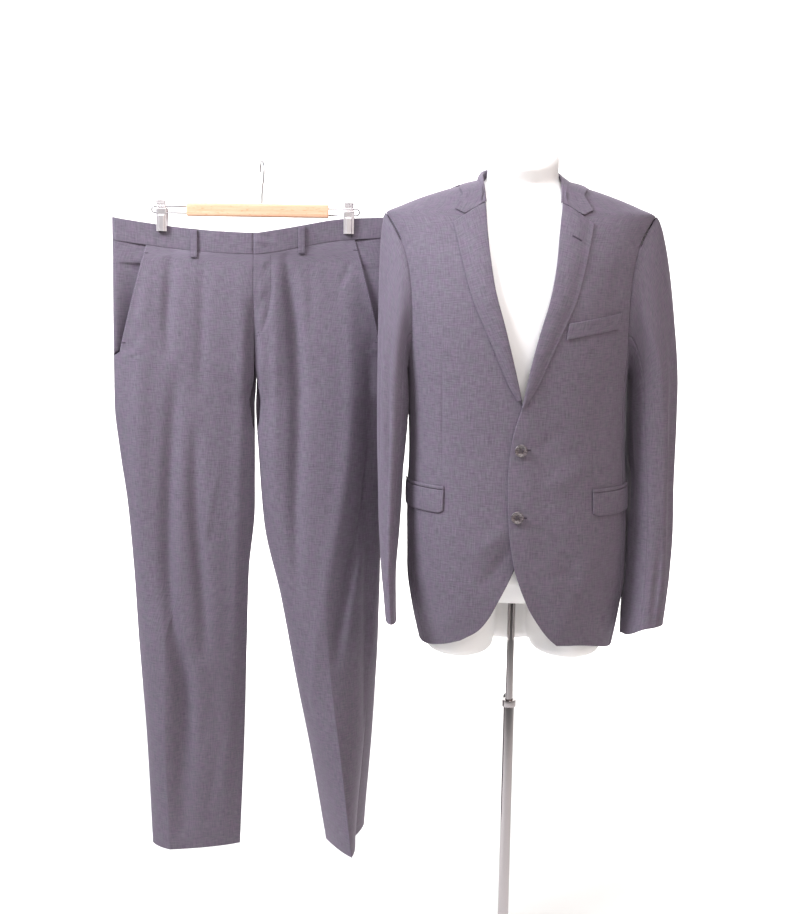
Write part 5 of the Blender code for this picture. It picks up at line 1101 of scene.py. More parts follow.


# Finer folds, as (depth, width, lean, places (x, z)...) in millimetres: the sag below
# each clip, the pull towards the fork, the bend behind each knee, and the pressed creases.
TROUSER_FOLDS = {
    (-1, -1): (
        (6.4, 10, 0, (-575, 1363), (-577, 1299), (-581, 1232), (-578, 1170)),
        (15, 12.5, 0, (-563, 1160), (-569, 1098), (-576, 1021), (-581, 934), (-585, 847), (-582, 759),
         (-567, 679), (-552, 607), (-549, 516), (-553, 415)),
        (4, 10, 0, (-520, 1354), (-522, 1242), (-525, 1107)),
        (11, 11, 0, (-530, 1081), (-534, 996), (-533, 900), (-526, 813), (-518, 724), (-519, 644)),
        (-6, 16, 0, (-618, 1348), (-623, 1207), (-630, 1054), (-627, 899), (-619, 758), (-605, 597)),
        (-3.4, 11, 0, (-457, 1339), (-454, 1201), (-457, 1057), (-463, 901), (-466, 743), (-472, 581),
         (-476, 435)),
        (-2, 4.2, 0, (-489, 1013), (-503, 949), (-514, 892), (-521, 830)),
        (11.5, 16, 0, (-551, 688), (-556, 580), (-559, 452), (-558, 281)),
        (-3, 14, 0, (-489, 689), (-484, 563), (-486, 434), (-490, 285)),
        (1, 4.5, 0, (-503, 599), (-528, 498), (-547, 397)),
        (1, 4.5, 0, (-479, 554), (-504, 443), (-520, 341)),
        (0.9, 5, 0, (-465, 581), (-486, 552), (-507, 540)),
        (1.6, 7, 0, (-652, 1186), (-630, 1210), (-605, 1237)),
        (1.4, 6, 0, (-533, 830), (-514, 866), (-499, 887)),
    ),
    (1, -1): (
        (3.4, 3.4, 0, (-405, 1359), (-405, 1293), (-411, 1252), (-423, 1221), (-433, 1201)),
        (-2.4, 5, 0, (-418, 1356), (-420, 1302), (-425, 1260)),
        (2.6, 4, 0, (-408, 1340), (-418, 1323), (-417, 1303)),
        (2.4, 3.6, 0, (-413, 1290), (-422, 1272), (-425, 1253)),
        (6, 7, 0, (-383, 1363), (-377, 1302), (-369, 1227), (-366, 1160)),
        (15, 12, 0, (-372, 1340), (-368, 1269), (-363, 1194), (-359, 1109), (-362, 1024), (-363, 938),
         (-363, 851), (-355, 745)),
        (-4.6, 10.5, 0, (-402, 1346), (-398, 1244), (-396, 1109), (-399, 989), (-394, 868)),
        (-5, 14, 0, (-280, 1351), (-269, 1204), (-269, 1060), (-281, 939), (-301, 834), (-321, 692),
         (-328, 565)),
        (11, 9.5, 0, (-229, 1043), (-240, 957), (-256, 861), (-273, 781), (-284, 710), (-290, 642)),
        (12, 12, 0, (-237, 1229), (-235, 1111), (-236, 1009), (-234, 905), (-234, 764), (-233, 621),
         (-235, 512)),
        (-2.6, 8, 0, (-254, 835), (-266, 755), (-272, 674)),
        (1.8, 8, 0, (-343, 1341), (-338, 1278), (-339, 1203)),
        (1.6, 6, 0, (-270, 1348), (-280, 1320), (-293, 1298)),
        (-1.8, 6, 0, (-323, 745), (-326, 665), (-332, 583), (-335, 543)),
        (2, 7, 0, (-346, 601), (-337, 574), (-332, 543)),
        (1.2, 5, 0, (-262, 563), (-276, 552), (-286, 540)),
    ),
    (-1, 1): (
        (3.4, 12, 0, (-610, 1320), (-606, 1200), (-612, 1060)),
        (3.6, 13, 0.2, (-480, 1300), (-500, 1160), (-540, 1020)),
        (-2.6, 14, 0, (-550, 1320), (-548, 1180), (-552, 1020)),
        (3, 10, 0, (-445, 1120), (-490, 1080), (-550, 1070)),
        (2.4, 9, 0, (-445, 1070), (-490, 1030), (-560, 1010)),
        (3, 12, 0, (-560, 900), (-550, 780), (-560, 660)),
        (2.6, 10, 0, (-620, 800), (-580, 780), (-540, 790)),
        (2.2, 11, 0, (-520, 640), (-530, 520), (-524, 400)),
    ),
    (1, 1): (
        (3.4, 12, 0, (-270, 1320), (-268, 1200), (-262, 1060)),
        (3.6, 13, -0.2, (-392, 1300), (-372, 1160), (-340, 1020)),
        (-2.6, 14, 0, (-325, 1320), (-322, 1180), (-326, 1020)),
        (3, 10, 0, (-425, 1115), (-385, 1080), (-325, 1068)),
        (2.2, 9, 0, (-424, 1065), (-380, 1025), (-310, 1012)),
        (3, 12, 0, (-340, 900), (-330, 780), (-322, 660)),
        (2.4, 10, 0, (-250, 790), (-285, 775), (-330, 785)),
        (2.2, 10, 0, (-300, 620), (-290, 520), (-280, 410)),
    ),
}
# Two courses down the centre front: the cloth sinks between the legs above the fork, and the
# right front a little more, under the fly.
UNDER_FLY = (0.0014, 0.0050, 0, (CENTRE_X, 1.350), (CENTRE_X, 1.300), (CENTRE_X, 1.220))
FORK_CREASE = (
    0.015, 0.0085, 0, (CENTRE_X, 1.285), (CENTRE_X, 1.195), (CENTRE_X, 1.12), (CENTRE_X, 1.05),
)
HEM_TURN_UP, HEM_RIDGE, HEM_RIDGE_REACH = 0.016, 0.00035, 0.0016
MOUTH_LIP, MOUTH_LIP_REACH, MOUTH_LIP_TOP_Z, MOUTH_LIP_FADE = 0.0012, 0.007, 1.36, 0.03

for side_name, leg in SIDES:
    for face_name, face in (("front", -1), ("back", 1)):
        half = steps(36, 0.02)[:-4]
        shares = np.concatenate([half, np.linspace(1 - 0.02, 1 + 0.02, 5), 2 - half[::-1]])
        shares = np.unique(np.round(shares, 6))
        grid = trouser_grid(leg, face, shares)
        along, down = arcs(grid)
        hold = smooth_step(along / (0.014 if leg * face < 0 else 0.022))
        hold = hold * smooth_step((along[:, -1:] - along) / 0.022)
        hold = hold * smooth_step(down / 0.02) * smooth_step((down[-1:] - down) / 0.05)
        x, z = grid[..., 0], grid[..., 2]
        folds = troughs(x, z, *map(in_metres, TROUSER_FOLDS[leg, face])) * hold
        if face < 0:
            lip = np.exp(-((along / MOUTH_LIP_REACH) ** 2))
            lip = lip * smooth_step((z - SLANT[leg].keys[0]) / MOUTH_LIP_FADE)
            folds = folds - MOUTH_LIP * lip * smooth_step((MOUTH_LIP_TOP_Z - z) / MOUTH_LIP_FADE)
            folds = folds + troughs(x, z, FORK_CREASE)
        if face < 0 and leg < 0:
            folds = folds + troughs(x, z, UNDER_FLY)
        ridge = HEM_RIDGE * np.exp(-(((z - LEG_HEM[leg] - HEM_TURN_UP) / HEM_RIDGE_REACH) ** 2))
        row = LEG[leg]
        side_y = row.at("side_y", z[:, 0]) + face * SEAM_WIDTH / 2
        inner_y = row.at("inner_front" if face < 0 else "inner_back", z[:, 0]) + face * SEAM_WIDTH / 2
        clamp = seam_clamp(face, side_y, inner_y, x[:, 0], x[:, -1])
        suit_piece(f"trouser_{face_name}_{side_name}", "stand", grid, leg * face, TROUSER_WALL,
                   ("seam", "turned", "seam", "seam"), folds + ridge, len(shares) // 2, clamp,
                   rests_on=("waistband_" + side_name,))

# ---------------- pocket facings
# The side piece that shows behind each slanting pocket mouth. It is set in behind the front,
# so the mouth stands a little open over it, and comes up to the front again inside.

FACING_ENDS = {1: (-0.2113, -0.2800), -1: (-0.6752, -0.6060)}
FACING_DEPTH, FACING_SINK, FACING_FOOT_Z = 0.0026, {1: 0.0060, -1: 0.0180}, 1.176
FACING_UNDERLAP, FACING_SPAN, FACING_TUCK = 0.16, 1.2, 0.0030

for side_name, leg in SIDES:
    z = LEG_TOP_Z - (LEG_TOP_Z - FACING_FOOT_Z) * steps(30, 0.02)
    start = slant_start(leg, z)
    share = np.concatenate([steps(16, 0.05)[:-4], [1.0, 1.05, 1.1, 1.15, 1.2]])
    beyond = np.clip((share - 1) / (FACING_SPAN - 1), 0, 1)
    across = start[:, None] * np.minimum(share, 1) + FACING_UNDERLAP * beyond
    below = leg_point(leg, -1, across, z[:, None])
    low, high = FACING_ENDS[leg]
    waist = waist_point(-1, low + (high - low) * share / FACING_SPAN)
    waist = waist + (0, 0.4 * FACING_TUCK, FACING_TUCK)
    t = np.linspace(0, 1, 10)[:-1, None, None]
    grid = np.concatenate([waist * (1 - t) + below[0] * t, below])
    depth = FACING_DEPTH + FACING_SINK[leg] * smooth_step(np.linspace(0, 3, len(grid)) / 2)
    recess = depth[:, None] * smooth_step(share)[None, :] ** 1.8
    recess = recess + (FACING_DEPTH - recess) * smooth_step(beyond)
    seam_x, seam_y = grid[:, 0, 0], grid[:, 0, 1]
    suit_piece("pocket_facing_" + side_name, "stand", grid, -leg, TROUSER_WALL,
               ("seam", "seam", "seam", "none"), recess, 8,
               seam_clamp(-1, seam_y, seam_y, seam_x, seam_x), rests_on=("trouser_front_" + side_name,))

# ---------------- waistband and belt loops
# A curtained band in two halves, firmer than the panels, that sags between the clips. They
# meet edge to edge at the front, where a hook and bar inside hold them. The loops are folded
# strips tacked down at both ends.

WAIST_CORNER, FRONT_COLUMNS, BACK_COLUMNS = 0.0047, 70, 60
FRONT_PUCKERS = (  # at the left half's front end
    (-0.0022, 0.006, 0.3, (-0.434, 1.378), (-0.424, 1.374), (-0.412, 1.366)),
    (0.0012, 0.005, 0.0, (-0.425, 1.386), (-0.412, 1.38), (-0.4, 1.378)),
)
for side_name, leg in SIDES:
    side_x = WAIST_ENDS[leg, 1][0]
    corner_x = side_x - leg * WAIST_CORNER
    front_x = np.linspace(WAIST_ENDS[leg, -1][1], corner_x, FRONT_COLUMNS)
    back_x = np.linspace(corner_x, WAIST_ENDS[leg, 1][1], BACK_COLUMNS)
    share = steps(16, 0.05)
    front_part = waist_point(-1, front_x[None, :], share[:, None])
    back_part = waist_point(1, back_x[None, :], share[:, None])
    corner = waist_point(-1, np.array([[side_x]]), share[:, None])
    corner[..., 1] = HANGER_Y
    grid = np.concatenate([front_part, corner, back_part], axis=1)
    puckers = troughs(grid[..., 0], grid[..., 2], *(FRONT_PUCKERS if leg > 0 else ()))
    puckers = puckers * (np.arange(grid.shape[1]) < FRONT_COLUMNS)
    suit_piece("waistband_" + side_name, "stand", grid, -leg, TROUSER_WALL,
               ("seam", "turned", "seam", "seam"), puckers,
               rests_on=("clip_left_foot_front", "clip_right_foot_front"))

BELT_LOOPS = (
    ("belt_loop_front_left", -0.3548, -1), ("belt_loop_front_right", -0.5360, -1),
    ("belt_loop_back_left", -0.3200, 1), ("belt_loop_back_centre", -0.4355, 1),
    ("belt_loop_back_right", -0.5450, 1),
)
LOOP_WIDTH, LOOP_WALL, LOOP_RISE = 0.0110, 0.0015, 0.0042


def loop_seat(x, z, face, seam):
    """The y of the waistband's outside, or below its seam of the trousers' outside."""
    seam_y = WAIST.at("front" if face < 0 else "back", x)
    if z > seam:
        return seam_y
    leg = 1 if x > CENTRE_X else -1
    low, high = 0.0, 2.0
    for _ in range(24):
        middle = (low + high) / 2
        if (leg_point(leg, face, middle, LEG_TOP_Z)[0] - x) * leg > 0:
            low = middle
        else:
            high = middle
    seam_z = WAIST.at("seam", x)
    share = (seam_z - z) / (seam_z - LEG_TOP_Z)
    return seam_y + (leg_point(leg, face, low, LEG_TOP_Z)[1] - seam_y) * share


for name, x, face in BELT_LOOPS:
    top, seam = float(WAIST.at("top", x)), float(WAIST.at("seam", x))
    course = np.array((
        (top - 0.0010, 0.0022), (top - 0.0050, LOOP_RISE), (seam + 0.0080, LOOP_RISE + 0.0006),
        (seam - 0.0060, LOOP_RISE), (seam - 0.0115, 0.0026),
    ))
    fine = smooth_through(course[:, None, :] * np.ones((1, 3, 1)), steps(26, 0.03))[:, 0]
    columns = x + (steps(5, 0.14) - 0.5) * LOOP_WIDTH
    rows = [
        [(place, loop_seat(place, z, face, seam) + face * out, z) for place in columns] for z, out in fine
    ]
    suit_piece(name, "stand", np.array(rows), -face, LOOP_WALL, ("turned",) * 4,
               grain=6, held="folded", rests_on=("waistband_left", "waistband_right"))

# ---------------- buttons
# Two dark horn buttons, turned with a raised rim and a dished middle, drilled with four holes
# and sewn on with thread through a short shank.

BUTTON_RADIUS, BUTTON_THICKNESS = 0.0098, 0.0036
BUTTONS = (("button_upper", -0.001, 1.060), ("button_lower", -0.004, 0.957))
BUTTON_SEAT, HOLE_RADIUS, HOLE_PLACE = 0.0005, 0.00085, 0.0018
BUTTON_CREASE = math.radians(40)


def faced_outwards(thing):
    shape = bmesh.new()
    shape.from_mesh(thing.data)
    bmesh.ops.recalc_face_normals(shape, faces=shape.faces)
    shape.to_mesh(thing.data)
    shape.free()
    return thing


def lathe(name, profile, segments, made_of, place=Matrix()):
    """A solid turned about Z from (radius, height) points. One that starts and ends on the
    axis has no bore."""
    points, faces, rings = [], [], []
    for radius, height in profile:
        start = len(points)
        if radius == 0.0:
            points.append(place @ Vector((0, 0, height)))
            rings.append([start] * segments)
            continue
        for k in range(segments):
            angle = 2 * math.pi * k / segments
            points.append(place @ Vector((radius * math.cos(angle), radius * math.sin(angle), height)))
        rings.append([start + k for k in range(segments)])
    pairs = list(zip(rings, rings[1:]))
    if profile[0][0] > 0:
        pairs.append((rings[-1], rings[0]))
    for low, high in pairs:
        for k in range(segments):
            m = (k + 1) % segments
            faces.append(tuple(dict.fromkeys((low[k], low[m], high[m], high[k]))))
    return faced_outwards(add_object(name, points, faces, made_of))


def rounded(profile, reach, bends=3):
    """A profile with its corners off the axis eased by a small curve."""
    eased = []
    for i, here in enumerate(profile):
        before, after = profile[i - 1], profile[(i + 1) % len(profile)]
        if here[0] == 0.0:
            eased.append(here)
            continue
        here, before, after = (np.array(p, float) for p in (here, before, after))
        back, onward = before - here, after - here
        back *= min(reach / np.linalg.norm(back), 0.45)
        onward *= min(reach / np.linalg.norm(onward), 0.45)
        for k in range(bends + 1):
            t = k / bends
            eased.append(tuple(here + back * (1 - t) ** 2 + onward * t * t))
    return eased


def applied(thing):
    """The object with its modifiers worked into its mesh."""
    graph = bpy.context.evaluated_depsgraph_get()
    result = bpy.data.meshes.new_from_object(thing.evaluated_get(graph))
    thing.modifiers.clear()
    thing.data = result
    return thing


def combine(thing, other, operation):
    cut = thing.modifiers.new("cut", "BOOLEAN")
    cut.operation, cut.object, cut.solver = operation, other, "MANIFOLD"
    applied(thing)
    bpy.data.objects.remove(other, do_unlink=True)


# Polished buffalo horn: nearly black, with paler brown streaks and a hard shine on its rim.
horn, tree, shader = new_material("buffalo_horn", Roughness=0.30, Coat_Weight=1.0, Coat_Roughness=0.16)
place = add(tree, "ShaderNodeTexCoord").outputs["Object"]
drawn = add(tree, "ShaderNodeMapping", Vector=place, Scale=(260.0, 260.0, 900.0))
streaks = add(tree, "ShaderNodeTexNoise", Vector=drawn.outputs["Vector"], Scale=1.0, Detail=4.0,
              Distortion=1.2)
ramp = add(tree, "ShaderNodeValToRGB", ends=((0.38, "#2b2528"), (0.72, "#86797b")),
           Fac=streaks.outputs["Fac"])
tree.links.new(ramp.outputs["Color"], shader.inputs["Base Color"])

BUTTON_PROFILE = (  # in shares of the radius and the thickness
    (0.0, 0.0), (0.62, 0.0), (0.88, 0.12), (0.98, 0.42), (1.0, 0.64), (0.985, 0.84), (0.94, 0.96),
    (0.88, 1.0), (0.82, 0.95), (0.75, 0.84), (0.66, 0.73), (0.54, 0.64), (0.40, 0.58), (0.22, 0.545),
    (0.0, 0.54),
)
BUTTON_PLACES = {}
for name, x, z in BUTTONS:
    seat = on_front(x, z, 1, BUTTON_SEAT)
    facing = Vector(unit(on_front(x, z, 1, 0.01) - seat))
    turn = facing.to_track_quat("Z", "Y").to_matrix().to_4x4()
    place = Matrix.Translation(Vector(seat) - Vector((POLE_X, 0, 0))) @ turn
    BUTTON_PLACES[name] = place, facing
    profile = [(r * BUTTON_RADIUS, h * BUTTON_THICKNESS) for r, h in BUTTON_PROFILE]
    button = lathe(name + "_horn", profile, 72, horn, place)
    for across, up in ((1, 1), (1, -1), (-1, -1), (-1, 1)):
        drill_place = place @ Matrix.Translation((across * HOLE_PLACE, up * HOLE_PLACE, 0))
        drill = lathe("drill", ((0, -0.001), (HOLE_RADIUS, -0.001), (HOLE_RADIUS, 0.005), (0, 0.005)),
                      14, horn, drill_place)
        combine(button, drill, "DIFFERENCE")
    button.data.polygons.foreach_set("use_smooth", [True] * len(button.data.polygons))
    button.data.set_sharp_from_angle(angle=BUTTON_CREASE)
    declare(button, "figure", name)

# ---------------- sewing
# Polyester thread, a shade off the cloth: buttonholes worked with close purl stitches, button
# threads, the stitched mouths of the trouser pockets, the fly's curve and the bar tacks that
# hold loops and pockets.

# Spun polyester thread: matt, finely twisted, a little darker or lighter than the cloth.
THREADS = {}
for name, shade, tint in (("thread_dark", "#3c333f", "#4a404e"), ("thread_pale", "#7b6f82", "#8d8094")):
    made, tree, shader = new_material("spun_" + name, Roughness=0.62)
    place = add(tree, "ShaderNodeTexCoord").outputs["Object"]
    ply = add(tree, "ShaderNodeTexNoise", Vector=place, Scale=2600.0, Detail=1.0)
    ramp = add(tree, "ShaderNodeValToRGB", ends=((0, shade), (1, tint)), Fac=ply.outputs["Fac"])
    tree.links.new(ramp.outputs["Color"], shader.inputs["Base Color"])
    THREADS[name] = made


def stitch_tree():
    """Lays one small thread at every pitch along a course, turned about the cloth's facing."""
    tree = bpy.data.node_groups.new("stitches_along_a_course", "GeometryNodeTree")
    face = tree.interface
    face.new_socket("Course", in_out="INPUT", socket_type="NodeSocketGeometry")
    for name, value in (("Pitch", 0.003), ("Stitch", 0.002), ("Thread radius", 0.0003), ("Turn", 0.0)):
        face.new_socket(name, in_out="INPUT", socket_type="NodeSocketFloat").default_value = value
    face.new_socket("Seed", in_out="INPUT", socket_type="NodeSocketInt").default_value = 7
    face.new_socket("Thread", in_out="INPUT", socket_type="NodeSocketMaterial")
    face.new_socket("Stitches", in_out="OUTPUT", socket_type="NodeSocketGeometry")
    given = tree.nodes.new("NodeGroupInput").outputs
    line = add(tree, "GeometryNodeMeshToCurve", Mesh=given["Course"])
    paced = add(tree, "GeometryNodeResampleCurve", dict(mode="LENGTH"), Curve=line.outputs[0],
                Length=given["Pitch"])
    tangent = add(tree, "GeometryNodeInputTangent").outputs[0]
    facing = add(tree, "GeometryNodeInputNamedAttribute", dict(data_type="FLOAT_VECTOR"), Name="facing")
    beside = add(tree, "ShaderNodeVectorMath", dict(operation="CROSS_PRODUCT"),
                 i0=facing.outputs[0], i1=tangent)
    sine = add(tree, "ShaderNodeMath", dict(operation="SINE"), i0=given["Turn"])
    cosine = add(tree, "ShaderNodeMath", dict(operation="COSINE"), i0=given["Turn"])
    across = add(tree, "ShaderNodeVectorMath", dict(operation="SCALE"), i0=beside.outputs[0])
    tree.links.new(sine.outputs[0], across.inputs["Scale"])
    onward = add(tree, "ShaderNodeVectorMath", dict(operation="SCALE"), i0=tangent)
    tree.links.new(cosine.outputs[0], onward.inputs["Scale"])
    heading = add(tree, "ShaderNodeVectorMath", dict(operation="ADD"),
                  i0=across.outputs[0], i1=onward.outputs[0])
    aligned = add(tree, "FunctionNodeAlignEulerToVector", dict(axis="Z"), Vector=heading.outputs[0])
    uneven = add(tree, "FunctionNodeRandomValue", dict(data_type="FLOAT"), Seed=given["Seed"])
    uneven.inputs[2].default_value, uneven.inputs[3].default_value = 0.82, 1.12
    half = add(tree, "ShaderNodeMath", dict(operation="MULTIPLY"), i0=given["Stitch"], i1=0.5)
    long = add(tree, "ShaderNodeMath", dict(operation="MULTIPLY"), i0=half.outputs[0], i1=uneven.outputs[1])
    size = add(tree, "ShaderNodeCombineXYZ", X=given["Thread radius"], Y=given["Thread radius"],
               Z=long.outputs[0])
    thread = add(tree, "GeometryNodeMeshUVSphere", Segments=8, Rings=6, Radius=1.0)
    laid = add(tree, "GeometryNodeInstanceOnPoints", Points=paced.outputs[0], Instance=thread.outputs[0],
               Rotation=aligned.outputs[0], Scale=size.outputs[0])
    real = add(tree, "GeometryNodeRealizeInstances", Geometry=laid.outputs[0])
    soft = add(tree, "GeometryNodeSetShadeSmooth", Geometry=real.outputs[0])
    dyed = add(tree, "GeometryNodeSetMaterial", Geometry=soft.outputs[0], Material=given["Thread"])
    add(tree, "NodeGroupOutput", Stitches=dyed.outputs[0])
    return tree


STITCHES = stitch_tree()


def sew(name, courses, thread, body, pitch, stitch, radius=0.0003, turn=0.0, seed=7):
    """Sews along courses, each a list of (place, facing), and makes one piece of the stitches."""
    places, facings = np.array([spot for course in courses for spot in course], float).transpose(1, 0, 2)
    edges, start = [], 0
    for course in courses:
        edges += [(start + k, start + k + 1) for k in range(len(course) - 1)]
        start += len(course)
    mesh = bpy.data.meshes.new(name)
    mesh.from_pydata(places.tolist(), edges, [])
    kept = mesh.attributes.new("facing", "FLOAT_VECTOR", "POINT")
    kept.data.foreach_set("vector", facings.ravel())
    thing = bpy.data.objects.new(name, mesh)
    bpy.context.collection.objects.link(thing)
    laid = thing.modifiers.new("stitches", "NODES")
    laid.node_group = STITCHES
    values = {"Pitch": pitch, "Stitch": stitch, "Thread radius": radius, "Turn": math.radians(turn),
              "Seed": seed, "Thread": THREADS[thread]}
    for item in STITCHES.interface.items_tree:
        if item.name in values:
            laid[item.identifier] = values[item.name]
    applied(thing)
    if "facing" in thing.data.attributes:
        thing.data.attributes.remove(thing.data.attributes["facing"])
    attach(thing, body)


def lengths_along(places):
    """How far along a run of flat places each one lies."""
    return np.concatenate([[0], np.cumsum(np.hypot(*np.diff(places, axis=0).T))])


STITCH_LIFT = 0.0001


def drawn_on(piece, places, out=STITCH_LIFT, count=40):
    """A course over a finished piece through places (x, z), in the suit's measures."""
    grid = OUTSIDE[piece + "_cloth"]
    points, ways = grid.reshape(-1, 3), ways_out(grid).reshape(-1, 3)
    toward = np.sign(grid[..., 1].mean() - (HANGER_Y if piece.startswith("trouser") else 0.0))
    ways = ways * (np.sign(ways[:, 1:2]) * toward)
    places = np.array(places, float)
    reach = lengths_along(places)
    fine = np.linspace(0, reach[-1], count)
    course = []
    for x, z in zip(np.interp(fine, reach, places[:, 0]), np.interp(fine, reach, places[:, 1])):
        near = np.argsort(np.hypot(points[:, 0] - x, points[:, 2] - z))[:4]
        way, base = unit(ways[near].mean(axis=0)), points[near].mean(axis=0)
        y = base[1] - ((x - base[0]) * way[0] + (z - base[2]) * way[2]) / way[1]
        course.append((np.array([x - POLE_X, y, z]) + way * out, way))
    return course


def along_mouth(piece, inset, low, high, way_out):
    """A course beside a piece's first column, between two heights."""
    grid = OUTSIDE[piece + "_cloth"]
    course = []
    for row, reach, ways in zip(grid, arcs(grid)[0], ways_out(grid) * way_out):
        if low < row[0, 2] < high:
            place = np.array([np.interp(inset, reach, row[:, k]) for k in range(3)])
            way = ways[np.argmin(np.abs(reach - inset))]
            course.append((place - (POLE_X, 0, 0) + way * STITCH_LIFT, way))
    return course


# Buttonholes: the slit runs from under the button away from the edge; the lapel's is open.
HOLES = (
    ("buttonhole_upper", "jacket_front_left", (0.0005, 1.060), (0.0132, 1.0612)),
    ("buttonhole_lower", "jacket_front_left", (-0.0025, 0.957), (0.0105, 0.9565)),
    ("buttonhole_lapel", "lapel_left", (0.0726, 1.3848), (0.0867, 1.3775)),
)
PURL_OFFSET = 0.0007
for name, piece, start, end in HOLES:
    slit = np.array((start, end))
    run = slit[1] - slit[0]
    beside = np.array([-run[1], run[0]]) / np.hypot(*run) * PURL_OFFSET
    rows = [drawn_on(piece, slit + beside * way, count=12) for way in (1, -1)]
    sew(name + "_purl", rows, "thread_dark", "figure", 0.00062, 0.0015, turn=90)
    rows = [drawn_on(piece, slit, out=2 * STITCH_LIFT, count=10)]
    sew(name + "_slit", rows, "thread_dark", "figure", 0.0006, 0.0014, radius=0.00022, seed=3)

THREAD_LIFTS, THREAD_REACH = (0.00255, 0.00275), HOLE_PLACE * 1.05
for name, (place, facing) in BUTTON_PLACES.items():
    rows = [
        [(place @ Vector((side * HOLE_PLACE, up * THREAD_REACH, lift)), facing) for up in (-1, 1)]
        for lift in THREAD_LIFTS for side in (-1, 1)
    ]
    sew(name + "_thread", rows, "thread_dark", "figure", 0.0006, 0.0016, radius=0.00042)

TACK_RADIUS, MOUTH_INSET, MOUTH_TOP_Z = 0.00026, 0.0022, 1.372
UPPER_TACK_Z = {1: 1.362, -1: 1.352}
for side_name, leg in SIDES:
    piece, mouth = "trouser_front_" + side_name, "pocket_mouth_" + side_name
    low = SLANT[leg].keys[0] + 0.006
    sew(mouth + "_stitching", [along_mouth(piece, MOUTH_INSET, low, MOUTH_TOP_Z, -leg)], "thread_pale",
        "stand", 0.0032, 0.0025, radius=TACK_RADIUS)
    tacks = []
    for height in (low + 0.012, UPPER_TACK_Z[leg]):
        mid = float(SLANT[leg].at("x", height))
        tack = ((mid - leg * 0.0010, height), (mid - leg * 0.0075, height))
        tacks.append(drawn_on(piece, tack, count=6))
    sew(mouth + "_tacks", tacks, "thread_dark", "stand", 0.0005, 0.0018, radius=TACK_RADIUS, turn=90)

FLY = ((-0.4070, 1.3500), (-0.4068, 1.3200), (-0.4069, 1.2983), (-0.4085, 1.2760), (-0.4125, 1.2560),
       (-0.4175, 1.2360), (-0.4232, 1.2210), (-0.4290, 1.2145))
FLY_TACK = ((-0.4300, 1.2150), (-0.4262, 1.2235))
sew("fly_stitching", [drawn_on("trouser_front_left", FLY, count=60)], "thread_dark", "stand",
    0.0030, 0.0023, radius=0.00024)
sew("fly_tack", [drawn_on("trouser_front_left", FLY_TACK, count=6)], "thread_dark", "stand",
    0.0005, 0.0020, radius=TACK_RADIUS, turn=90)

for name, x, face in BELT_LOOPS:
    grid = OUTSIDE[name + "_cloth"] - (POLE_X, -face * STITCH_LIFT, 0)
    ends = [grid[int(at * (len(grid) - 1)), 2:11:4] for at in (0.10, 0.93)]
    rows = [[(place, (0, face, 0)) for place in end] for end in ends]
    sew(name + "_tacks", rows, "thread_dark", "stand", 0.0005, 0.0019, radius=TACK_RADIUS, turn=90)

# ---------------- dress form
# A limbless torso of white moulded plastic, hollow and light, with a soft satin skin: neck,
# shoulders and two short thigh stubs, closed below and socketed for the pole.

# Satin white polystyrene: even and faintly glossy, with a hint of orange peel from the mould.
form_plastic, tree, shader = new_material(
    "white_moulded_plastic", Base_Color=to_linear("#f4f2f0"), Roughness=0.42, IOR=1.55,
    Subsurface_Weight=0.05, Subsurface_Radius=(0.004, 0.004, 0.003),
)
grained(tree, shader, 420.0, 2.0, 0.06, 0.0005)

FORM_INSET = Table(
    "z inset",
    (0.80, 0.012), (0.90, 0.010), (1.00, 0.014), (1.06, 0.017), (1.15, 0.012), (1.25, 0.0085),
    (1.33, 0.0065), (1.38, 0.0052), (1.419, 0.0042), (1.469, 0.0052),
)
NECK_HALF, NECK_TOP_Z, NECK_TILT_DROP, CROTCH_Z = 0.0562, 1.538, 0.030, 0.800
STUBS, STUB_DEPTH, STUB_BOTTOM_Z = ((-0.0830, 0.0600), (0.0925, 0.0620)), 0.088, 0.716
FORM_COLUMNS, FORM_VOXEL = 96, 0.0045


def loft(name, rings, made_of):
    """A closed solid through rings of points."""
    count = len(rings[0])
    points = [tuple(p) for ring in rings for p in ring]
    faces = [
        (i * count + j, i * count + (j + 1) % count, (i + 1) * count + (j + 1) % count, (i + 1) * count + j)
        for i in range(len(rings) - 1) for j in range(count)
    ]
    for ring, start in ((rings[0], 0), (rings[-1], (len(rings) - 1) * count)):
        middle = len(points)
        points.append(tuple(np.mean(np.array(ring), axis=0)))
        faces += [(middle, start + j, start + (j + 1) % count) for j in range(count)]
    return faced_outwards(add_object(name, points, faces, made_of))


def oval(x, y, z, half, depth, tilt=0.0):
    angle = 2 * np.pi * np.arange(FORM_COLUMNS) / FORM_COLUMNS
    along = -depth * np.cos(angle)
    return vectors(x + half * np.sin(angle), y + along, z + tilt * along / depth)


neck_x = float(BODY.at("middle", NECKLINE_Z))
rings = [
    oval(neck_x, 0.000, NECK_TOP_Z - 0.012, 0.030, 0.032, NECK_TILT_DROP * 0.55),
    oval(neck_x, -0.002, NECK_TOP_Z - 0.018, NECK_HALF - 0.006, 0.050, NECK_TILT_DROP * 0.9),
    oval(neck_x, -0.002, NECK_TOP_Z - 0.026, NECK_HALF, 0.056, NECK_TILT_DROP * 0.9),
    oval(neck_x, 0.002, 1.495, NECK_HALF, 0.056, 0.010),
    oval(neck_x, 0.008, 1.476, NECK_HALF + 0.0005, 0.056, 0.003),
    oval(neck_x, 0.012, 1.4705, NECK_HALF + 0.0035, 0.052, 0.0),
]
turns = 360.0 * np.arange(FORM_COLUMNS) / FORM_COLUMNS
SHOULDER_ROWS, HIP_Z = [1.466, 1.4585, 1.452, 1.445, 1.438, 1.432, 1.425, 1.419, 1.408], 0.850
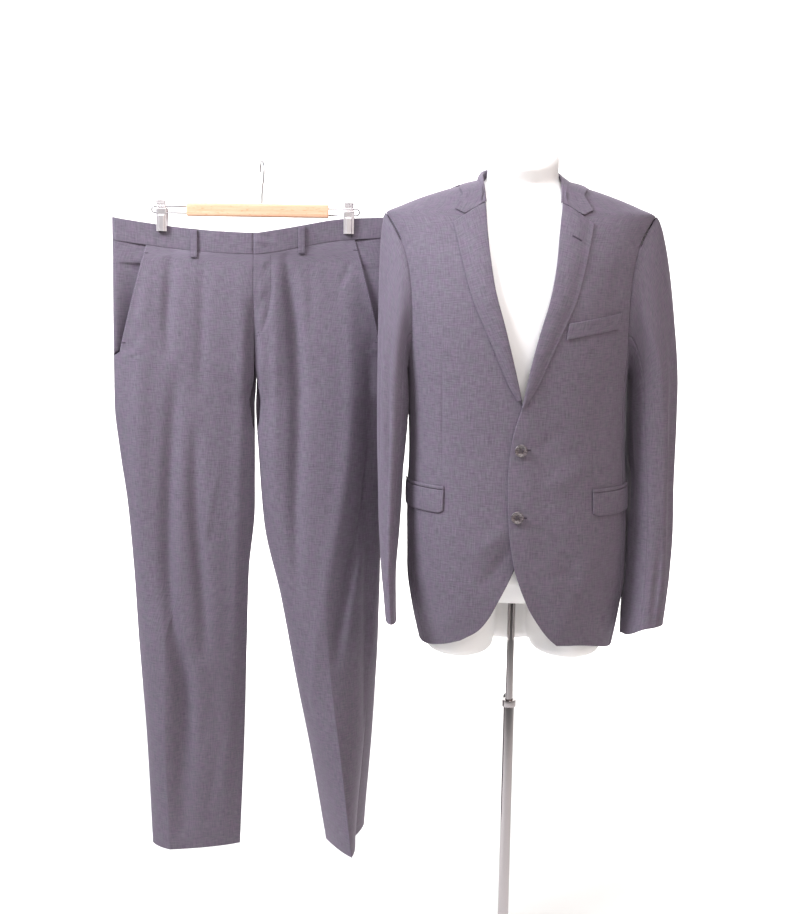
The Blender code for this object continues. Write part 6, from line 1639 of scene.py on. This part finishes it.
for z in np.concatenate([SHOULDER_ROWS, np.linspace(1.398, HIP_Z, 40)]):
    rings.append(on_body(turns, np.full(FORM_COLUMNS, z), -FORM_INSET.at("inset", z)))
low_x = float(BODY.at("middle", HIP_Z))
rings += [oval(low_x, 0.002, 0.818, 0.135, 0.098), oval(low_x, 0.002, CROTCH_Z, 0.085, 0.060)]
form = loft("dress_form_shell", rings, form_plastic)
STUB_ROWS = ((0.870, 0.90, 0.92), (0.835, 0.98, 0.99), (0.790, 1.0, 1.0), (0.745, 0.985, 0.985),
             (0.724, 0.95, 0.96), (STUB_BOTTOM_Z, 0.86, 0.89))
for stub_x, half in STUBS:
    rings = [oval(stub_x, 0, z, half * w, STUB_DEPTH * d) for z, w, d in STUB_ROWS]
    combine(form, loft("stub", rings, form_plastic), "UNION")
SEAT_ROWS = ((0.860, 1.0), (0.760, 1.0), (0.730, 0.96), (0.720, 0.86))
rings = [oval(0.005, 0.050, z, 0.050 * w, 0.034 * w) for z, w in SEAT_ROWS]
combine(form, loft("seat", rings, form_plastic), "UNION")
form.data.transform(Matrix.Translation((-POLE_X, 0, 0)))
melted = form.modifiers.new("melted", "REMESH")
melted.mode, melted.voxel_size, melted.use_smooth_shade = "VOXEL", FORM_VOXEL, True
eased = form.modifiers.new("eased", "SMOOTH")
eased.factor, eased.iterations = 0.5, 10
applied(form)
form.data.materials.clear()
form.data.materials.append(form_plastic)
declare(form, "figure", "dress_form")

# ---------------- pole, clamp and base
# A telescopic steel tube stand, chromium plated: a heavy pressed base with a hub, the outer
# and the inner pole, and a clamp ring with a black thumb screw.

# Bright chromium plate: mirror-like, cool, with the faintest polishing marks.
chrome, tree, shader = new_material("bright_chrome_plate", Base_Color=to_linear("#aaa4a4"), Metallic=1.0)


def wiped(tree, shader, low, high, **marks):
    """Lets a metal's roughness wander between two values, as wiping or tumbling leaves it."""
    place = add(tree, "ShaderNodeTexCoord").outputs["Object"]
    marks = add(tree, "ShaderNodeTexNoise", Vector=place, **marks)
    uneven = add(tree, "ShaderNodeMapRange", Value=marks.outputs["Fac"], To_Min=low, To_Max=high)
    tree.links.new(uneven.outputs["Result"], shader.inputs["Roughness"])


wiped(tree, shader, 0.07, 0.17, Scale=60.0, Detail=5.0, Roughness=0.7)

# Moulded black nylon: matt, slightly grey on its grip.
nylon, tree, shader = new_material("moulded_black_nylon", Base_Color=to_linear("#1b1a1b"), Roughness=0.5)
grained(tree, shader, 900.0, 2.0, 0.2, 0.0002)

BASE_RADIUS, BASE_THICKNESS, HUB_RADIUS, HUB_HEIGHT = 0.18, 0.012, 0.024, 0.030
OUTER_POLE_RADIUS, OUTER_POLE_BORE, OUTER_POLE_TOP = 0.0090, 0.0070, 0.618
INNER_POLE_RADIUS, INNER_POLE_BOTTOM, INNER_POLE_TOP = 0.0062, 0.300, 0.860
CLAMP_RADIUS, CLAMP_HEIGHT, SCREW_RADIUS, KNOB_RADIUS, KNOB_REACH = 0.0115, 0.012, 0.0022, 0.0075, 0.030
RUNNING_GAP, FITTED_GAP, TURNED_CREASE = 0.0004, 0.0003, math.radians(35)

bore = OUTER_POLE_RADIUS + RUNNING_GAP
clamp_z = OUTER_POLE_TOP - CLAMP_HEIGHT + 0.004
cap = OUTER_POLE_TOP + FITTED_GAP
foot = BASE_THICKNESS + FITTED_GAP
lip = INNER_POLE_RADIUS + RUNNING_GAP
TURNED = (
    ("stand_base", "stand", 128, 0.0016, (
        (0.0, 0.0), (BASE_RADIUS - 0.001, 0.0), (BASE_RADIUS, 0.001), (BASE_RADIUS, 0.6 * BASE_THICKNESS),
        (BASE_RADIUS - 0.006, BASE_THICKNESS), (HUB_RADIUS + 0.004, BASE_THICKNESS + 0.0019),
        (HUB_RADIUS, BASE_THICKNESS + 0.004), (HUB_RADIUS, BASE_THICKNESS + HUB_HEIGHT),
        (bore, BASE_THICKNESS + HUB_HEIGHT), (bore, BASE_THICKNESS), (0.0, BASE_THICKNESS))),
    ("pole_outer", "stand", 64, 0.0004, (
        (OUTER_POLE_BORE, foot), (OUTER_POLE_RADIUS, foot),
        (OUTER_POLE_RADIUS, OUTER_POLE_TOP), (OUTER_POLE_BORE, OUTER_POLE_TOP))),
    ("pole_inner", "figure", 64, 0.0004, (
        (0.0, INNER_POLE_BOTTOM), (INNER_POLE_RADIUS, INNER_POLE_BOTTOM),
        (INNER_POLE_RADIUS, INNER_POLE_TOP), (0.0, INNER_POLE_TOP))),
    ("pole_clamp", "stand", 64, 0.0006, (
        (bore, clamp_z), (CLAMP_RADIUS, clamp_z), (CLAMP_RADIUS, cap + 0.003), (lip, cap + 0.003),
        (lip, cap), (bore, cap))),
)
for name, body, segments, ease, profile in TURNED:
    thing = lathe(name + "_turned", rounded(profile, ease), segments, chrome)
    thing.data.set_sharp_from_angle(angle=TURNED_CREASE)
    declare(thing, body, name)

reach = CLAMP_RADIUS + FITTED_GAP
knob = [(0.0, reach), (SCREW_RADIUS, reach), (SCREW_RADIUS, reach + 0.006), (KNOB_RADIUS, reach + 0.008),
        (KNOB_RADIUS, KNOB_REACH), (0.0, KNOB_REACH + 0.002)]
place = Matrix.Translation((0, 0, clamp_z + 0.5 * CLAMP_HEIGHT)) @ Matrix.Rotation(-math.pi / 2, 4, "X")
screw = lathe("clamp_screw_turned", rounded(knob, 0.0012), 48, nylon, place)
screw.data.set_sharp_from_angle(angle=TURNED_CREASE)
declare(screw, "stand", "clamp_screw")

# ---------------- clip hanger
# A trouser hanger: a planed beech bar with a bent wire loop let into each end, a wire hook,
# and two sprung clips of pressed steel that slide on the wires and grip through rubber feet.

BAR_ENDS, BAR_BOTTOM_Z, BAR_TOP_Z, BAR_THICKNESS = (-0.549, -0.3112), 1.4140, 1.4365, 0.0120
ROD_RADIUS, ROD_HEIGHTS, ROD_END_REACH = 0.0012, (1.4190, 1.4295), 0.0175
CLIPS, CLIP_WIDTH = (("left", -0.2768), ("right", -0.5907)), 0.0165
CLIP_TOP_Z, CLIP_BOTTOM_Z, CLIP_PLATE = 1.4395, 1.3885, 0.0012
HOOK_X, HOOK_RADIUS, HOOK_CROWN_Z, HOOK_BEND = -0.4231, 0.0013, 1.508, 0.0205
HOOK_TURN, HOOK_STEM, HOOK_ARC = 15.0, 0.014, (-78.0, 172.0)

# Planed beech, clear lacquered: pale peach with long fine grain lines and short darker flecks.
beech, tree, shader = new_material(
    "lacquered_beech", Roughness=0.42, Coat_Weight=0.25, Coat_Roughness=0.25
)
place = add(tree, "ShaderNodeTexCoord").outputs["Object"]
lengthwise = add(tree, "ShaderNodeMapping", Vector=place, Scale=(14.0, 320.0, 320.0))
rings_seen = add(tree, "ShaderNodeTexNoise", Vector=lengthwise.outputs["Vector"], Scale=1.0, Detail=5.0,
                 Distortion=0.4)
flecked = add(tree, "ShaderNodeMapping", Vector=place, Scale=(120.0, 900.0, 900.0))
flecks = add(tree, "ShaderNodeTexNoise", Vector=flecked.outputs["Vector"], Scale=1.0, Detail=1.0)
ramp = add(tree, "ShaderNodeValToRGB", ends=((0.30, "#dba685"), (0.72, "#ecbf9f")),
           Fac=rings_seen.outputs["Fac"])
fleck_ramp = add(tree, "ShaderNodeValToRGB", ends=((0.62, "#ffffff"), (0.72, "#dcb18a")),
                 Fac=flecks.outputs["Fac"])
toned = add(tree, "ShaderNodeMix", dict(data_type="RGBA", blend_type="MULTIPLY"), Factor=0.6)
tree.links.new(ramp.outputs["Color"], toned.inputs[6])
tree.links.new(fleck_ramp.outputs["Color"], toned.inputs[7])
tree.links.new(toned.outputs[2], shader.inputs["Base Color"])
pores = add(tree, "ShaderNodeBump", Strength=0.15, Distance=0.0003, Height=rings_seen.outputs["Fac"])
tree.links.new(pores.outputs["Normal"], shader.inputs["Normal"])

# Nickel-plated steel: softer and warmer than chrome, dulled by tumbling.
steel, tree, shader = new_material("nickel_plated_steel", Base_Color=to_linear("#eae4e4"), Metallic=1.0)
wiped(tree, shader, 0.34, 0.50, Scale=700.0, Detail=3.0)

# Zinc-plated hard wire: a duller grey than the clips, drawn smooth.
zinc, tree, shader = new_material(
    "zinc_plated_wire", Base_Color=to_linear("#9a979b"), Metallic=1.0, Roughness=0.3
)
grained(tree, shader, 400.0, 2.0, 0.1, 0.0001)

# Vulcanised rubber: dull warm grey.
rubber, tree, shader = new_material("grey_vulcanised_rubber", Base_Color=to_linear("#4b4346"), Roughness=0.8)
grained(tree, shader, 500.0, 3.0, 0.25, 0.0003)

BAR_SQUARENESS, BAR_CREASE = 0.45, math.radians(50)
BAR_EASE = ((0.0, 0.90), (0.0004, 0.95), (0.0010, 0.985), (0.0018, 1.0))
angle = 2 * np.pi * (np.arange(64) + 0.5) / 64
square = [np.sign(wave) * np.abs(wave) ** BAR_SQUARENESS for wave in (np.cos(angle), np.sin(angle))]
section = np.stack([BAR_THICKNESS / 2 * square[0], (BAR_TOP_Z - BAR_BOTTOM_Z) / 2 * square[1]], axis=1)
ends = [(BAR_ENDS[0] + d, s) for d, s in BAR_EASE]
ends += [(x, 1.0) for x in np.linspace(BAR_ENDS[0] + 0.02, BAR_ENDS[1] - 0.02, 12)]
ends += [(BAR_ENDS[1] - d, s) for d, s in BAR_EASE[::-1]]
middle_z = (BAR_BOTTOM_Z + BAR_TOP_Z) / 2
bar = loft(
    "hanger_bar_beech",
    [vectors(x - POLE_X, HANGER_Y + section[:, 0] * s, middle_z + section[:, 1] * s) for x, s in ends],
    beech,
)
bar.data.set_sharp_from_angle(angle=BAR_CREASE)
declare(bar, "stand", "hanger_bar")


def wire(name, path, radius, made_of, sides=20):
    """A round bent wire along a path."""
    path = [Vector(p) - Vector((POLE_X, 0, 0)) for p in path]
    rings, side = [], None
    for i, point in enumerate(path):
        onward = (path[min(i + 1, len(path) - 1)] - path[max(i - 1, 0)]).normalized()
        if side is None:
            side = onward.orthogonal().normalized()
        side = (side - onward * side.dot(onward)).normalized()
        up = onward.cross(side)
        turns = [2 * math.pi * k / sides for k in range(sides)]
        rings.append([point + radius * (math.cos(a) * side + math.sin(a) * up) for a in turns])
    return loft(name, rings, made_of)


low, high = ROD_HEIGHTS
bend = (high - low) / 2
for (side, clip_x), bar_end, way in zip(CLIPS, (BAR_ENDS[1], BAR_ENDS[0]), (1, -1)):
    start = bar_end + way * FITTED_GAP
    turn_x = clip_x + way * (ROD_END_REACH - bend)
    path = [(start, HANGER_Y, high), (turn_x, HANGER_Y, high)]
    for k in range(1, 18):
        a = math.pi * k / 18
        path.append((turn_x + way * bend * math.sin(a), HANGER_Y, low + bend + bend * math.cos(a)))
    path += [(turn_x, HANGER_Y, low), (start, HANGER_Y, low)]
    node = "hanger_wire_" + side
    declare(wire(node + "_bent", path, ROD_RADIUS, zinc), "stand", node)

centre_z = HOOK_CROWN_Z - HOOK_RADIUS - HOOK_BEND
turn = math.radians(HOOK_TURN)
across = np.array([math.sin(turn), -math.cos(turn), 0]) * HOOK_BEND
root = np.array([HOOK_X, HANGER_Y, 0])
path = [root + (0, 0, BAR_TOP_Z + FITTED_GAP), root + (0, 0, BAR_TOP_Z + HOOK_STEM * 0.6)]
first = math.radians(HOOK_ARC[0])
joint = root + across * math.cos(first) + (0, 0, centre_z + HOOK_BEND * math.sin(first))
knee = root + (0, 0, BAR_TOP_Z + HOOK_STEM)
path += [knee * (1 - t) ** 2 + 2 * t * (1 - t) * (knee + joint) / 2 + joint * t * t for t in (0.0, 0.5)]
for a in np.radians(np.linspace(*HOOK_ARC, 48)):
    path.append(root + across * math.cos(a) + (0, 0, centre_z + HOOK_BEND * math.sin(a)))
declare(wire("hanger_hook_bent", path, HOOK_RADIUS, zinc), "stand", "hanger_hook")

# Each plate, from above: flared handle, the wires, then the jaw that closes on the waistband.
CLIP_RIB_PITCH, CLIP_RIB_DEPTH, CLIP_RIB_TOP = 0.0042, 0.00130, 0.0020
CLIP_CROWN, CLIP_PAD, CLIP_NARROWS = 0.0005, 0.0011, 0.16
jaw = HANGER_Y - float(WAIST.at("front", CLIPS[0][1])) + 0.0036
CLIP_COURSE = np.array((
    (CLIP_TOP_Z, 0.0125), (high + 0.002, 0.0082), (low - 0.003, 0.0072),
    (float(WAIST.at("top", CLIPS[0][1])) - 0.004, 0.0070), (CLIP_BOTTOM_Z + 0.003, jaw),
    (CLIP_BOTTOM_Z, jaw),
))
keys = lengths_along(CLIP_COURSE)
course = [np.interp(steps(60, 0.01), keys / keys[-1], column) for column in CLIP_COURSE.T]
z, out = evened(np.array(course), 4, axis=1)
share = steps(34, 0.04) - 0.5
ribs = np.cos(2 * np.pi * (CLIP_TOP_Z - CLIP_RIB_TOP - z) / CLIP_RIB_PITCH)
ribs = CLIP_RIB_DEPTH * np.maximum(ribs, 0) ** 2
ribs *= smooth_step((z - low - 0.004) / 0.003) * smooth_step((CLIP_TOP_Z - z) / 0.002)
ribs = ribs[:, None] * np.abs(np.cos(3 * np.pi * share)) ** 0.5
crown = CLIP_CROWN * (1 - (2 * share[None, :]) ** 6)
pad = CLIP_PAD * smooth_step((0.30 - np.abs(share)) / 0.08)
pad = pad[None, :] * smooth_step((low - 0.003 - z) / 0.002)[:, None]
narrow = 1 - CLIP_NARROWS * smooth_step((z - low - 0.003) / 0.006)
for side, x in CLIPS:
    for face_name, face in (("front", -1), ("back", 1)):
        place_x = x + share[None, :] * CLIP_WIDTH * narrow[:, None]
        y = HANGER_Y + face * (out[:, None] + CLIP_PLATE + crown - CLIP_CROWN + ribs + pad)
        node = f"clip_{side}_{face_name}"
        grid = vectors(place_x, y, z[:, None])
        plate = cloth(node + "_plate", grid, face, CLIP_PLATE, steel, ("none",) * 4)[0]
        declare(plate, "stand", node)
    for part, made_of in (("cradle", steel), ("foot_front", rubber), ("foot_back", rubber)):
        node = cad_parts[f"clip_{side}_{part}"]
        for material_slot in node.material_slots:
            material_slot.material = made_of

cad_box = [list(corner) for corner in cad_box]
